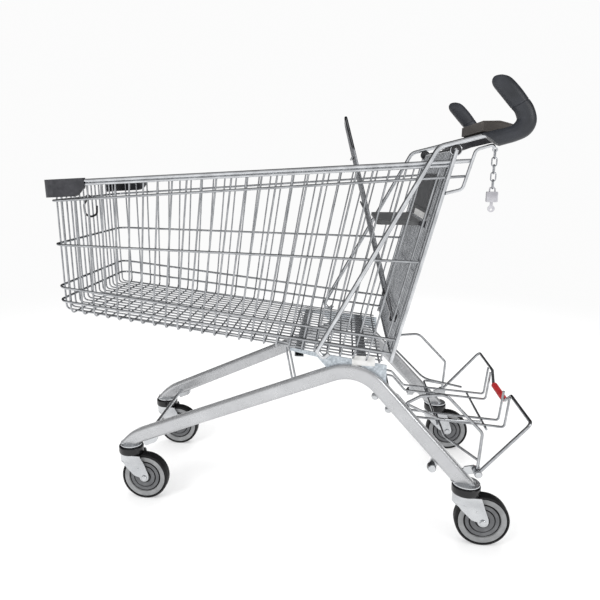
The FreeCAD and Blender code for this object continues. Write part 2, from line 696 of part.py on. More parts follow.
def corner_bumper(side):
    """C-section bumper round the front corner of the rim, with a rounded lower rear corner."""
    front, rear, inner, outer = -176.5, -66.0, 168.0, 238.5
    low, high = 808.0, 851.0
    wall, depth, round_r = 4.5, 15.0, 30.0
    body = bumper_block(front, rear, inner, outer, low, high, 32.0)
    body = body.cut(bumper_block(front + depth, rear + 1, inner - 1, outer - depth, low - 1, high + 1, 18.0))
    body = body.cut(bumper_block(front + wall, rear - 3, inner - 1, outer - wall, low + 4, high - 3.5, 28.0))
    wire_slot = box(at(front + 11, inner - 1, low - 1), at(rear + 1, outer - 12.5, low + 10))
    body = body.cut(wire_slot)
    rear_round = box(at(rear - round_r, 100, low - 1), at(rear + 1, 300, low + round_r))
    keep = Part.makeCylinder(round_r, 300, at(rear - round_r, 50, low + round_r), V(0, 1, 0))
    body = body.cut(rear_round.cut(keep))
    body.rotate(at(front, 0, low), V(0, 1, 0), -BUMPER_TILT)
    body = body.cut(Part.makeCompound(RIM_CUTTERS))
    body = max(body.Solids, key=lambda s: s.Volume)
    return body if side > 0 else mirror(body)


def rim_cutters():
    """Rim, ring and wire shapes, a hair thicker than the wires, that the bumper clears."""
    shapes = ring_wires(RIM_LINE, RIM_D + 0.1, 100.0)
    shapes.extend(ring_wires(RIM_LOW_LINE, RIM_LOW_D + 0.1, 100.0))
    for i in range(4):
        high, low = side_wire_ends(i, RIGHT)
        shapes.append(rod(low, high + (high - low).normalize(), SIDE_D + 0.4))
    for i in range(FRONT_COUNT):
        low = at(front_station(600), front_y(i), 600)
        shapes.append(rod(low, at(front_station(846), front_y(i), 846), FRONT_D + 0.4))
    return shapes


RIM_CUTTERS = rim_cutters()
save("corner_bumper_left", [corner_bumper(LEFT)])
save("corner_bumper_right", [corner_bumper(RIGHT)])


HOOK_D = 6.0


def bag_hook():
    """Plastic hook clipped on the second ring in the middle of the front."""
    lean_x = front_station(line_z(RING_LINES[0], -160.0))
    ring_x = lean_x - (FRONT_D + RING_D) / 2.0 - CLEAR
    ring_z = line_z(RING_LINES[0], ring_x)
    clip = Part.makeCylinder(RING_D / 2.0 + 3.0, 12, at(ring_x, -6, ring_z), V(0, 1, 0))
    clip = clip.cut(Part.makeCylinder(RING_D / 2.0 + 0.02, 12, at(ring_x, -6, ring_z), V(0, 1, 0)))
    points = [at(ring_x - 3, 0, ring_z - 5), at(ring_x - 13, 0, 778), at(ring_x - 11, 0, 752),
              at(ring_x + 6, 0, 744), at(ring_x + 24, 0, 752), at(ring_x + 25, 0, 776)]
    hook = bent_rod(points, HOOK_D, [9.0, 10.0, 14.0, 10.0])
    ring_hole = Part.makeCylinder(RING_D / 2.0 + 0.02, 14, at(ring_x, -7, ring_z), V(0, 1, 0))
    return clip.fuse(hook).cut(ring_hole).removeSplitter()


save("bag_hook", [bag_hook()])


# ---------------------------------------------------------------- gate
GATE_DOWN = (at(GATE_FOOT_X, 0, GATE_FOOT_Z) - at(KNOB_X, 0, KNOB_Z)).normalize()
GATE_OUT = V(GATE_DOWN.z, 0, -GATE_DOWN.x)      # towards the inside of the basket
HINGE_ROD_D = 8.0


def gate_point(down, y, out):
    return at(KNOB_X, y, KNOB_Z) + GATE_DOWN * down + GATE_OUT * out


def hinge_knob(side):
    outer = POST_HALF_TOP - POST_D / 2.0 - 0.35
    inner = outer - 15.0
    knob = Part.makeCylinder(13.0, 15.0, at(KNOB_X, side * inner, KNOB_Z), V(0, side, 0))
    knob = knob.makeChamfer(1.5, [e for e in knob.Edges if e.Closed and e.BoundBox.YLength < 0.01])
    bore_start = at(KNOB_X, side * (inner - 1), KNOB_Z)
    return knob.cut(Part.makeCylinder(HINGE_ROD_D / 2.0 + FIT, 11.0, bore_start, V(0, side, 0)))


save("hinge_knobs", [hinge_knob(side) for side in (LEFT, RIGHT)])


def gate_frame():
    hinge_half = POST_HALF_TOP - POST_D / 2.0 - 6.0
    reach = 482.0
    pieces = [rod(at(KNOB_X, -hinge_half, KNOB_Z), at(KNOB_X, hinge_half, KNOB_Z), HINGE_ROD_D)]
    top = HINGE_ROD_D / 2.0 + CLEAR
    corner = 12.0
    for side in (LEFT, RIGHT):
        y = side * GATE_HALF
        arc_in, middle, arc_out = bend(gate_point(top, y, 0), gate_point(reach, y, 0),
                                       gate_point(reach, 0, 0), corner)
        pieces.append(rod(gate_point(top, y, 0), arc_in, GATE_FRAME_D))
        pieces.append(wire_sweep([Part.Arc(arc_in, middle, arc_out).toShape()], GATE_FRAME_D))
    inner = GATE_HALF - corner
    pieces.append(rod(gate_point(reach, -inner, 0), gate_point(reach, inner, 0), GATE_FRAME_D))
    wire_end = reach - GATE_FRAME_D / 2.0 - CLEAR
    pitch = 2 * GATE_HALF / 20.0
    for i in range(1, 20):
        y = -GATE_HALF + pitch * i
        pieces.append(rod(gate_point(top, y, 0), gate_point(wire_end, y, 0), GATE_WIRE_D))
    brace = 5.0
    back = -(GATE_WIRE_D + brace) / 2.0 - 1.6
    for down in (30.0, 150.0, 285.0, 400.0):
        pieces.append(rod(gate_point(down, -GATE_HALF, back), gate_point(down, GATE_HALF, back), brace))
    return pieces


save("gate_frame", gate_frame())
PANEL_T, PANEL_HALF, PANEL_TOP, PANEL_LOW = 3.0, 155.0, 54.0, 165.0


def gate_panel():
    near = GATE_WIRE_D / 2.0 + CLEAR
    points = [gate_point(PANEL_TOP, -PANEL_HALF, near), gate_point(PANEL_LOW, -PANEL_HALF, near),
              gate_point(PANEL_LOW, PANEL_HALF, near), gate_point(PANEL_TOP, PANEL_HALF, near)]
    sheet = prism(points, GATE_OUT * PANEL_T)
    corners = [e for e in sheet.Edges if abs(e.Length - PANEL_T) < 0.01]
    return sheet.makeFillet(12.0, corners)


save("gate_panel", [gate_panel()])


# ---------------------------------------------------------------- child seat
SEAT_ROD_D, SEAT_WIRE_D = 7.0, 5.0
SEAT_HALF_FOOT, SEAT_HALF_SEAT, SEAT_HALF_TOP = 190.0, 172.0, 120.0
SEAT_TOP_Z, SEAT_SHOULDER_Z = 998.0, 925.0


def seat_line(z, y):
    return at(SEAT_FOOT_X - SEAT_LEAN * (z - SEAT_FOOT_Z), y, z)


def seat_half(z):
    return SEAT_HALF_FOOT + (SEAT_HALF_SEAT - SEAT_HALF_FOOT) * (z - SEAT_FOOT_Z) / (750.0 - SEAT_FOOT_Z)


def seat_back_frame():
    """Bent outer rod of the seat back, its two cross wires and its five uprights."""
    foot_half = SEAT_HALF_FOOT - 12.0
    top_half = SEAT_HALF_TOP - 24.0
    pieces = [rod(seat_line(SEAT_FOOT_Z, -foot_half), seat_line(SEAT_FOOT_Z, foot_half), SEAT_ROD_D),
              rod(seat_line(SEAT_TOP_Z, -top_half), seat_line(SEAT_TOP_Z, top_half), SEAT_ROD_D)]
    for side in (LEFT, RIGHT):
        points = [seat_line(SEAT_FOOT_Z, side * foot_half), seat_line(SEAT_FOOT_Z, side * SEAT_HALF_FOOT),
                  seat_line(SEAT_SHOULDER_Z, side * seat_half(SEAT_SHOULDER_Z)),
                  seat_line(SEAT_TOP_Z, side * SEAT_HALF_TOP), seat_line(SEAT_TOP_Z, side * top_half)]
        pieces.extend(rod_runs(points, SEAT_ROD_D, [10.0, 20.0, 16.0]))
    wire_gap = (SEAT_ROD_D + SEAT_WIRE_D) / 2.0 + 1.0
    front = V(-wire_gap, 0, -wire_gap * SEAT_LEAN)
    for z in (785.0, 905.0):
        half = seat_half(z) + 2.0
        pieces.append(rod(seat_line(z, -half) + front, seat_line(z, half) + front, SEAT_WIRE_D))
    low = V(0, 0, -4.0)
    stop = SEAT_TOP_Z - SEAT_ROD_D / 2.0 - CLEAR - 0.3
    for y in (-90.0, -45.0, 0.0, 45.0, 90.0):
        pieces.append(rod(seat_line(785.0, y) + low, seat_line(stop, y), SEAT_WIRE_D))
    return pieces


save("seat_back_frame", seat_back_frame())


def seat_clip(y):
    """Clip on the gate that holds the bottom rod of the seat back."""
    centre = seat_line(SEAT_FOOT_Z, y)
    near_down = (centre - at(KNOB_X, y, KNOB_Z)).dot(GATE_DOWN)
    out = (centre - at(KNOB_X, y, KNOB_Z)).dot(GATE_OUT)
    start = gate_point(near_down - 9, y, GATE_WIRE_D / 2.0 + CLEAR)
    points = [start, gate_point(near_down + 9, y, GATE_WIRE_D / 2.0 + CLEAR),
              gate_point(near_down + 9, y, out + 4), gate_point(near_down + 5, y, out + 7),
              gate_point(near_down - 5, y, out + 7), gate_point(near_down - 9, y, out + 4)]
    clip = prism(points, V(0, 14, 0))
    clip.translate(V(0, -7, 0))
    return clip.cut(Part.makeCylinder(SEAT_ROD_D / 2.0 + FIT, 40, centre - V(0, 20, 0), V(0, 1, 0)))


SEAT_PLATE_HALF, SEAT_PLATE_FRONT = 153.0, 628.0
SEAT_PLATE_TOP, SEAT_PLATE_LOW = 756.0, 746.0
SEAT_PIN_R = 2.6


def seat_hinge():
    """Pin through the seat's barrel with a lug at each end that sits on the gate."""
    hinge = at(SEAT_HINGE_X, 0, SEAT_HINGE_Z)
    down = (hinge - at(KNOB_X, 0, KNOB_Z)).dot(GATE_DOWN)
    out = (hinge - at(KNOB_X, 0, KNOB_Z)).dot(GATE_OUT)
    inner = SEAT_PLATE_HALF + 2.5
    near = GATE_WIRE_D / 2.0 + CLEAR
    pieces = [Part.makeCylinder(SEAT_PIN_R, 2 * inner, hinge - V(0, inner, 0), V(0, 1, 0))]
    for side in (LEFT, RIGHT):
        y = side * inner
        outline = [(down - 8, near), (down + 8, near), (down + 5, out + 5), (down - 5, out + 5)]
        pieces.append(prism([gate_point(d, y, n) for d, n in outline], V(0, side * 7.0, 0)))
    return pieces[0].fuse(pieces[1:]).removeSplitter()


save("seat_clips", [seat_clip(y) for y in (-150.0, 150.0)] + [seat_hinge()])


def seat_plate():
    """Moulded seat with a rounded front edge and a barrel along its rear hinge line."""
    half = SEAT_PLATE_HALF
    plate = box(at(SEAT_PLATE_FRONT, -half, SEAT_PLATE_LOW), at(SEAT_HINGE_X - 1.0, half, SEAT_PLATE_TOP))
    front_x = FRONT_SWIVEL_X + SEAT_PLATE_FRONT
    upright = [e for e in plate.Edges if e.BoundBox.ZLength > 5 and e.BoundBox.XMax < front_x + 1]
    plate = plate.makeFillet(14.0, upright)
    front = [e for e in plate.Edges if e.BoundBox.XMax < front_x + 15 and e.BoundBox.ZLength < 0.01]
    plate = plate.makeFillet(3.5, front)
    start = at(SEAT_HINGE_X, -half, SEAT_HINGE_Z)
    barrel = Part.makeCylinder(5.0, 2 * half, start, V(0, 1, 0))
    bore = Part.makeCylinder(SEAT_PIN_R + FIT, 2 * half, start, V(0, 1, 0))
    return plate.fuse(barrel).removeSplitter().cut(bore)


save("seat_plate", [seat_plate()])


# ---------------------------------------------------------------- coin chain and lock
CHAIN_Y = LEFT * GUARD_HALF
LINK_LENGTH, LINK_WIDTH, LINK_D, LINK_COUNT = 21.5, 12.6, 2.6, 5
CHAIN_X = EYE_X
LINK_SPAN = LINK_LENGTH - LINK_D       # between the wire centres of one link
LINK_PITCH = LINK_LENGTH - 2 * LINK_D - 0.7


def chain_link(centre, normal):
    """Stadium-shaped link standing upright; normal is the direction it faces."""
    half_straight = (LINK_LENGTH - LINK_WIDTH) / 2.0
    turn_r = (LINK_WIDTH - LINK_D) / 2.0
    across = V(0, 0, 1).cross(normal)
    up = V(0, 0, half_straight)
    right, left = centre + across * turn_r, centre - across * turn_r
    edges = [Part.makeLine(right - up, right + up),
             Part.Arc(right + up, centre + up + V(0, 0, turn_r), left + up).toShape(),
             Part.makeLine(left + up, left - up),
             Part.Arc(left - up, centre - up - V(0, 0, turn_r), right - up).toShape()]
    ring = Part.Wire(Part.Circle(right - up, V(0, 0, 1), LINK_D / 2.0).toShape())
    return Part.Wire(edges).makePipeShell([ring], True, False)


def coin_chain():
    first = EYE_Z - LINK_SPAN / 2.0
    links = []
    for i in range(LINK_COUNT):
        normal = V(0, 1, 0) if i % 2 else V(1, 0, 0)
        links.append(chain_link(at(CHAIN_X, CHAIN_Y, first - LINK_PITCH * i), normal))
    return links


save("coin_chain", coin_chain())
SHACKLE_D = 3.0
LOCK_HANG_Z = EYE_Z - LINK_SPAN - LINK_PITCH * (LINK_COUNT - 1)      # centre of the last link's lowest wire
LOCK_TOP_Z = LOCK_HANG_Z - 6.2


def coin_lock():
    body_low = LOCK_TOP_Z - 22.0
    body = box(at(CHAIN_X - 11.5, CHAIN_Y - 5, body_low), at(CHAIN_X + 11.5, CHAIN_Y + 5, LOCK_TOP_Z))
    body = body.makeFillet(2.0, [e for e in body.Edges if e.BoundBox.YLength > 5])
    legs = 5.5
    crown = LOCK_HANG_Z + (LINK_D + SHACKLE_D) / 2.0 + 0.4
    bow_points = [at(CHAIN_X - legs, CHAIN_Y, LOCK_TOP_Z - 2), at(CHAIN_X - legs, CHAIN_Y, crown),
                  at(CHAIN_X + legs, CHAIN_Y, crown), at(CHAIN_X + legs, CHAIN_Y, LOCK_TOP_Z - 2)]
    shackle = bent_rod(bow_points, SHACKLE_D, [5.0, 5.0])
    lock = body.fuse(shackle).removeSplitter()
    key_z = body_low - CLEAR
    blade = box(at(CHAIN_X - 3, CHAIN_Y - 1, key_z - 10), at(CHAIN_X + 3, CHAIN_Y + 1, key_z))
    bow = Part.makeCylinder(7.5, 2.0, at(CHAIN_X, CHAIN_Y - 1, key_z - 14), V(0, 1, 0))
    bow = bow.cut(Part.makeCylinder(2.5, 4.0, at(CHAIN_X, CHAIN_Y - 2, key_z - 16), V(0, 1, 0)))
    return [lock, blade.fuse(bow).removeSplitter()]


save("coin_lock", coin_lock())

# ---------------------------------------------------------------- crate rack
RACK_D, RACK_ARCH_D = 8.0, 7.0
RACK_HALF = 270.0
ARCH_HALF = 262.0
RACK_PIN_R, RACK_EYE_INNER, RACK_EYE_W = 4.0, 258.0, 18.5
STOP_Z = 316.0


HAIR_TOP = (709.0, ARCH_HALF - 14.0, 338.5)
HAIR_TURN = (713.0, ARCH_HALF - 24.0, 330.5)
HAIR_STUB = 7.0


def hairpin(side):
    """Top, lower turn and joining point of the wire that folds over the rear leg."""
    top = at(HAIR_TOP[0], side * HAIR_TOP[1], HAIR_TOP[2])
    turn = at(HAIR_TURN[0], side * HAIR_TURN[1], HAIR_TURN[2])
    return top, turn, top + (turn - top).normalize() * HAIR_STUB


def rack_frame():
    """Outer rods from the hinge eyes up to the rear crossbar, and the arches over the rear legs."""
    corner_x, corner_z, dip_half, dip_z = 981.0, 314.0, 62.0, 287.0
    dip_x = corner_x - 4.0
    centre_half = dip_half - 8.0
    pieces = [rod(at(dip_x, -centre_half, dip_z), at(dip_x, centre_half, dip_z), RACK_D)]
    for side in (LEFT, RIGHT):
        eye_start = at(RACK_X, side * RACK_EYE_INNER, RACK_Z)
        eye = Part.makeCylinder(9.0, RACK_EYE_W, eye_start, V(0, side, 0))
        bore = Part.makeCylinder(RACK_PIN_R + FIT, RACK_EYE_W, eye_start, V(0, side, 0))
        outer = [at(RACK_X, side * RACK_HALF, RACK_Z), at(corner_x, side * RACK_HALF, corner_z),
                 at(corner_x, side * 100, corner_z), at(dip_x, side * dip_half, dip_z),
                 at(dip_x, side * centre_half, dip_z)]
        outer_runs = rod_runs(outer, RACK_D, [14.0, 8.0, 8.0])
        hair_top, hair_turn, joint = hairpin(side)
        arch = [at(RACK_X, side * ARCH_HALF, RACK_Z), at(879, side * ARCH_HALF, 281),
                at(794, side * ARCH_HALF, 369), at(738, side * ARCH_HALF, 363), hair_top, joint]
        arch_runs = rod_runs(arch, RACK_ARCH_D, [16.0, 30.0, 22.0, 5.0])
        outer_runs[0] = outer_runs[0].cut(eye)
        arch_runs[0] = arch_runs[0].cut(eye)
        pieces.append(eye.cut(bore))
        pieces.extend(outer_runs + arch_runs)
    return [max(piece.Solids, key=lambda s: s.Volume) for piece in pieces]


save("rack_frame", rack_frame())


def rack_rails():
    """Four longitudinal wires that turn up as stops, with the cross wires that carry them."""
    d = 6.0
    pieces = []
    for side in (LEFT, RIGHT):
        for y, bend_x, top_x in ((116.0, 965.0, 973.0), (73.0, 961.0, 969.5)):
            rail = [(top_x, STOP_Z), (bend_x, 236), (738, 251), (702, 292), (672, 297)]
            points = [at(s, side * y, z) for s, z in rail]
            pieces.extend(rod_runs(points, d, [8.0, 14.0, 14.0]))
        sway = (RACK_ARCH_D + d) / 2.0
        hair_turn, joint = hairpin(side)[1:]
        sway_line = [joint, hair_turn, at(800, side * 150, 262), at(905, side * 124, 244 + sway)]
        pieces.extend(rod_runs(sway_line, d, [5.0, 60.0]))
    under = d + CLEAR
    for x, z in ((920.0, 238.8 - under), (800.0, 246.3 - under), (684.0, 295.0 - under)):
        pieces.append(rod(at(x, -128.0, z), at(x, 128.0, z), d))
    link_z = 247.0 - under
    for side in (LEFT, RIGHT):
        link = [at(806.6, side * 60, link_z - 1), at(806.6, side * 200, link_z - 2),
                at(874.3, side * (ARCH_HALF - 6.2), RACK_Z + 26)]
        pieces.extend(rod_runs(link, d, [30.0]))
    return pieces


save("rack_rails", rack_rails())


def rack_clip():
    """Ribbed sleeve on the crossbar's dip."""
    x, z, half = 977.0, 287.0, 52.0
    sleeve = Part.makeCylinder(7.0, 2 * half, at(x, -half, z), V(0, 1, 0))
    ribs = [Part.makeCylinder(8.2, 3.0, at(x, -50 + 6.5 * i, z), V(0, 1, 0)) for i in range(16)]
    bore = Part.makeCylinder(RACK_D / 2.0 + 0.02, 2 * half + 6, at(x, -half - 3, z), V(0, 1, 0))
    return sleeve.fuse(ribs).removeSplitter().cut(bore)


save("rack_clip", [rack_clip()])


def rack_bracket(side, sweep):
    """Hinge pin and ear at the rear end of the side tube."""
    ear_half = tube_half(845.0) - 4.0
    ear_t, head_t = 5.0, 3.0
    outline = [(836, 168), (RACK_X + 8, RACK_Z - 8), (RACK_X + 9, RACK_Z + 6),
               (RACK_X - 6, RACK_Z + 10), (846, 190)]
    ear = prism([at(s, side * ear_half, z) for s, z in outline], V(0, side * ear_t, 0)).cut(sweep)
    ear = max(ear.Solids, key=lambda s: s.Volume)
    pin_start = ear_half + ear_t - 1.0
    head_start = RACK_EYE_INNER + RACK_EYE_W + 0.5
    pin_length = head_start - pin_start
    pin = Part.makeCylinder(RACK_PIN_R, pin_length, at(RACK_X, side * pin_start, RACK_Z), V(0, side, 0))
    head = Part.makeCylinder(7.0, head_t, at(RACK_X, side * head_start, RACK_Z), V(0, side, 0))
    return ear.fuse([pin, head]).removeSplitter()


save("rack_brackets", [rack_bracket(side, tubes[side]) for side in (LEFT, RIGHT)])
print("nodes written:", len(os.listdir("parts")))
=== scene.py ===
import math

import bmesh
import bpy
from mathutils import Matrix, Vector


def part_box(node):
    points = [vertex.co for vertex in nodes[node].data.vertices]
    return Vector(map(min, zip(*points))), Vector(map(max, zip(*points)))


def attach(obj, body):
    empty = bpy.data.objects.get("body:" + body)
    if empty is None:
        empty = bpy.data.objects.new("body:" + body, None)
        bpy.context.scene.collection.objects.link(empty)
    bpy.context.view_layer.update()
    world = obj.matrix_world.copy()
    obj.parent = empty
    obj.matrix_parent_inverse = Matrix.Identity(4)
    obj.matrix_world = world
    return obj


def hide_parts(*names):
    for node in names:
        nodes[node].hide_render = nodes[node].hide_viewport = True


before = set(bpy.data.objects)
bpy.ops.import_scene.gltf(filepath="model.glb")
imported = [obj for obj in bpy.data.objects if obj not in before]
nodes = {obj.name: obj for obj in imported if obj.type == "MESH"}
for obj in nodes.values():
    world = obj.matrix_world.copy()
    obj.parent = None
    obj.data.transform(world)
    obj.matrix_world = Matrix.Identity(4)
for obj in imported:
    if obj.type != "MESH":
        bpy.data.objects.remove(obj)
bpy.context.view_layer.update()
scene = bpy.context.scene

# Stations are millimetres behind the front swivel axis, as in the CAD source.
swivel_low, swivel_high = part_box("caster_fl_race_cover")
FRONT_SWIVEL = (swivel_low.x + swivel_high.x) / 2


def at(station, y, z):
    """Point in metres from a station, a distance from the middle plane and a height in millimetres."""
    return Vector((FRONT_SWIVEL + station / 1000, y / 1000, z / 1000))


# ------------------------------------------------------------------ materials
TONE_LOW, TONE_HIGH = 0.32, 0.68       # noise values that give the dark and the light tone
WEAR_FROM, WEAR_FULL = 0.53, 0.62      # pointiness where wear starts and where it is complete


def linear(r, g, b):
    """Linear colour from 0-255 display values."""
    out = []
    for value in (r, g, b):
        c = value / 255
        out.append(c / 12.92 if c <= 0.04045 else ((c + 0.055) / 1.055) ** 2.4)
    return (*out, 1.0)


def material(name, dark, light, metallic=0.0, rough=(0.3, 0.45), mottle=25.0, grain=900.0, bump=0.1,
             depth=0.00006, wear=None, coat=0.0, specular=0.5):
    """Two-tone mottled surface with varying roughness, a fine bump and, optionally, worn edges."""
    mat = bpy.data.materials.new(name)
    mat.use_nodes = True
    tree = mat.node_tree
    shader = tree.nodes["Principled BSDF"]
    shader.inputs["Metallic"].default_value = metallic
    shader.inputs["Coat Weight"].default_value = coat
    shader.inputs["Specular IOR Level"].default_value = specular
    coords = tree.nodes.new("ShaderNodeTexCoord")

    def noise(scale, detail, roughness=0.55):
        node = tree.nodes.new("ShaderNodeTexNoise")
        node.inputs["Scale"].default_value = scale
        node.inputs["Detail"].default_value = detail
        node.inputs["Roughness"].default_value = roughness
        tree.links.new(coords.outputs["Object"], node.inputs["Vector"])
        return node.outputs["Fac"]

    tones = tree.nodes.new("ShaderNodeValToRGB")
    tones.color_ramp.elements[0].position = TONE_LOW
    tones.color_ramp.elements[0].color = dark
    tones.color_ramp.elements[1].position = TONE_HIGH
    tones.color_ramp.elements[1].color = light
    tree.links.new(noise(mottle, 5.0), tones.inputs["Fac"])
    colour = tones.outputs["Color"]
    if wear:
        geometry = tree.nodes.new("ShaderNodeNewGeometry")
        edge = tree.nodes.new("ShaderNodeMapRange")
        edge.inputs["From Min"].default_value = WEAR_FROM
        edge.inputs["From Max"].default_value = WEAR_FULL
        tree.links.new(geometry.outputs["Pointiness"], edge.inputs["Value"])
        patchy = tree.nodes.new("ShaderNodeMath")
        patchy.operation = "MULTIPLY"
        tree.links.new(edge.outputs["Result"], patchy.inputs[0])
        tree.links.new(noise(mottle * 3, 4.0), patchy.inputs[1])
        mix = tree.nodes.new("ShaderNodeMix")
        mix.data_type = "RGBA"
        tree.links.new(patchy.outputs["Value"], mix.inputs["Factor"])
        tree.links.new(colour, mix.inputs[6])
        mix.inputs[7].default_value = wear
        colour = mix.outputs[2]
    tree.links.new(colour, shader.inputs["Base Color"])
    rough_range = tree.nodes.new("ShaderNodeMapRange")
    rough_range.inputs["From Min"].default_value = 0.3
    rough_range.inputs["From Max"].default_value = 0.7
    rough_range.inputs["To Min"].default_value = rough[0]
    rough_range.inputs["To Max"].default_value = rough[1]
    tree.links.new(noise(mottle * 2.3, 6.0, 0.65), rough_range.inputs["Value"])
    tree.links.new(rough_range.outputs["Result"], shader.inputs["Roughness"])
    bumps = tree.nodes.new("ShaderNodeBump")
    bumps.inputs["Strength"].default_value = bump
    bumps.inputs["Distance"].default_value = depth
    tree.links.new(noise(grain, 3.0), bumps.inputs["Height"])
    tree.links.new(bumps.outputs["Normal"], shader.inputs["Normal"])
    return mat


WIRE = material("zinc_wire", linear(150, 152, 155), linear(186, 188, 191), metallic=1.0, rough=(0.16, 0.28),
                mottle=40, grain=400, bump=0.1, depth=0.00001)
# painted shade: a darker copy of the zinc wire for the seat back, whose wires lie in the shade of the wires
# around them
WIRE_PAINTED_SHADE = material("zinc_wire_painted_shade", linear(96, 97, 100), linear(136, 138, 141), metallic=1.0,
                      rough=(0.16, 0.28), mottle=40, grain=400, bump=0.1, depth=0.00001)
WIRE_BRIGHT = material("zinc_wire_bright", linear(186, 188, 191), linear(216, 218, 221), metallic=1.0,
                       rough=(0.12, 0.22), mottle=40, grain=400, bump=0.1, depth=0.00001)
TUBE = material("lacquered_tube", linear(176, 177, 179), linear(188, 189, 191), metallic=0.6,
                rough=(0.22, 0.3), mottle=14, grain=320, bump=0.1, depth=0.00001, coat=0.3)
PRESSED = material("pressed_zinc", linear(186, 188, 191), linear(206, 208, 210), metallic=0.9,
                   rough=(0.16, 0.26), mottle=24, grain=300, bump=0.1, depth=0.00001)
GALVANISED = material("galvanised_plate", linear(150, 158, 165), linear(206, 213, 219), metallic=0.8,
                      rough=(0.3, 0.5), mottle=170, grain=420, bump=0.3, depth=0.00006)
DARK_METAL = material("dark_metal", linear(60, 62, 66), linear(92, 94, 98), metallic=0.9, rough=(0.3, 0.45),
                      depth=0.00004)
SOFT_GRIP = material("soft_grip", linear(36, 38, 42), linear(52, 54, 60), rough=(0.36, 0.5), mottle=22,
                     grain=600, bump=0.2, depth=0.00003, wear=linear(66, 68, 74), specular=0.4)
BUMPER = material("bumper_plastic", linear(22, 23, 26), linear(33, 34, 38), rough=(0.34, 0.48), mottle=30,
                  grain=700, bump=0.2, depth=0.00003, wear=linear(72, 72, 76), specular=0.25)
BLACK = material("black_plastic", linear(10, 10, 12), linear(20, 21, 23), rough=(0.14, 0.26), mottle=50,
                 grain=700, bump=0.1, depth=0.00002, wear=linear(58, 58, 62), specular=0.45)
BAR_BROWN = material("bar_plastic", linear(60, 57, 55), linear(76, 72, 69), rough=(0.34, 0.46), mottle=20,
                     grain=700, bump=0.2, depth=0.00003, wear=linear(104, 99, 94), specular=0.3)
SEAT_GREY = material("seat_plastic", linear(76, 77, 78), linear(96, 97, 98), rough=(0.4, 0.52), mottle=22,
                     grain=900, bump=0.4, depth=0.00009, wear=linear(124, 124, 126), specular=0.3)
PANEL_DARK = material("panel_plastic", linear(46, 47, 49), linear(62, 63, 65), rough=(0.36, 0.5), mottle=18,
                      grain=1000, bump=0.35, depth=0.00007, wear=linear(94, 94, 96), specular=0.3)
TYRE = material("tyre_rubber", linear(13, 13, 14), linear(24, 24, 25), rough=(0.5, 0.68), mottle=60,
                grain=900, bump=0.5, depth=0.0001, wear=linear(56, 56, 56), specular=0.22)
WHEEL_LIGHT = material("wheel_light", linear(122, 123, 124), linear(142, 143, 144), rough=(0.36, 0.5),
                       mottle=50, grain=900, bump=0.3, depth=0.00006, specular=0.35)
WHEEL_MID = material("wheel_mid", linear(84, 85, 87), linear(102, 103, 105), rough=(0.36, 0.5),
                     mottle=50, grain=900, bump=0.3, depth=0.00006, specular=0.35)
# painted shade: near-black for the floors and walls of the wheel centre's grooves
WHEEL_GROOVE_SHADE = material("wheel_groove_painted_shade", linear(20, 20, 21), linear(32, 33, 34), rough=(0.5, 0.65),
                        mottle=50, grain=900, bump=0.3, depth=0.00006, specular=0.2)
RED = material("red_clip_plastic", linear(156, 22, 28), linear(186, 32, 36), rough=(0.3, 0.42), mottle=50,
               grain=900, bump=0.3, depth=0.00006, wear=linear(216, 108, 108), specular=0.35)
CHAIN = material("chain_steel", linear(150, 152, 156), linear(190, 192, 196), metallic=1.0,
                 rough=(0.14, 0.26), mottle=120, grain=700, bump=0.2, depth=0.00004)
LOCK = material("lock_body", linear(160, 159, 164), linear(186, 185, 190), metallic=0.6, rough=(0.26, 0.4),
                mottle=90, grain=700, bump=0.25, depth=0.00004, wear=linear(214, 214, 218))
PAPER = material("blank_label", linear(206, 206, 204), linear(222, 222, 221), rough=(0.4, 0.55), mottle=80,
                 grain=900, bump=0.2, depth=0.00004)

NODE_MATERIALS = {
    WIRE: ("basket_rings", "basket_side_wires_left", "basket_side_wires_right", "basket_floor_cross_wires",
           "basket_floor_long_wires", "basket_front_wires", "gate_frame", "rack_frame", "rack_rails",
           "support_stays"),
    WIRE_PAINTED_SHADE: ("seat_back_frame",),
    WIRE_BRIGHT: ("basket_rim", "rear_posts", "guard_loops", "handle_arms"),
    TUBE: ("chassis_tube_left", "chassis_tube_right"),
    PRESSED: ("chassis_end_caps", "chassis_cross_members", "chassis_lugs", "rack_brackets",
              "nesting_roller_brackets"),
    GALVANISED: ("support_plates",),
    DARK_METAL: ("swivel_stems",),
    SOFT_GRIP: ("horn_grip_left", "horn_grip_right"),
    BUMPER: ("corner_bumper_left", "corner_bumper_right"),
    BLACK: ("handle_housing", "hinge_knobs", "bag_hook", "seat_clips", "nesting_roller_left",
            "nesting_roller_right"),
    BAR_BROWN: ("handle_crossbar",),
    SEAT_GREY: ("seat_plate",),
    PANEL_DARK: ("gate_panel",),
    RED: ("rack_clip",),
    CHAIN: ("coin_chain",),
    LOCK: ("coin_lock",),
}
for key in ("fl", "fr", "rl", "rr"):
    for part, mat in (("fork", PRESSED), ("race_cover", BLACK), ("tyre", TYRE), ("wheel", WHEEL_MID),
                      ("axle", PRESSED)):
        NODE_MATERIALS.setdefault(mat, ())
        NODE_MATERIALS[mat] = (*NODE_MATERIALS[mat], "caster_%s_%s" % (key, part))
for mat, names in NODE_MATERIALS.items():
    for name in names:
        mesh = nodes[name].data
        mesh.materials.clear()
        mesh.materials.append(mat)


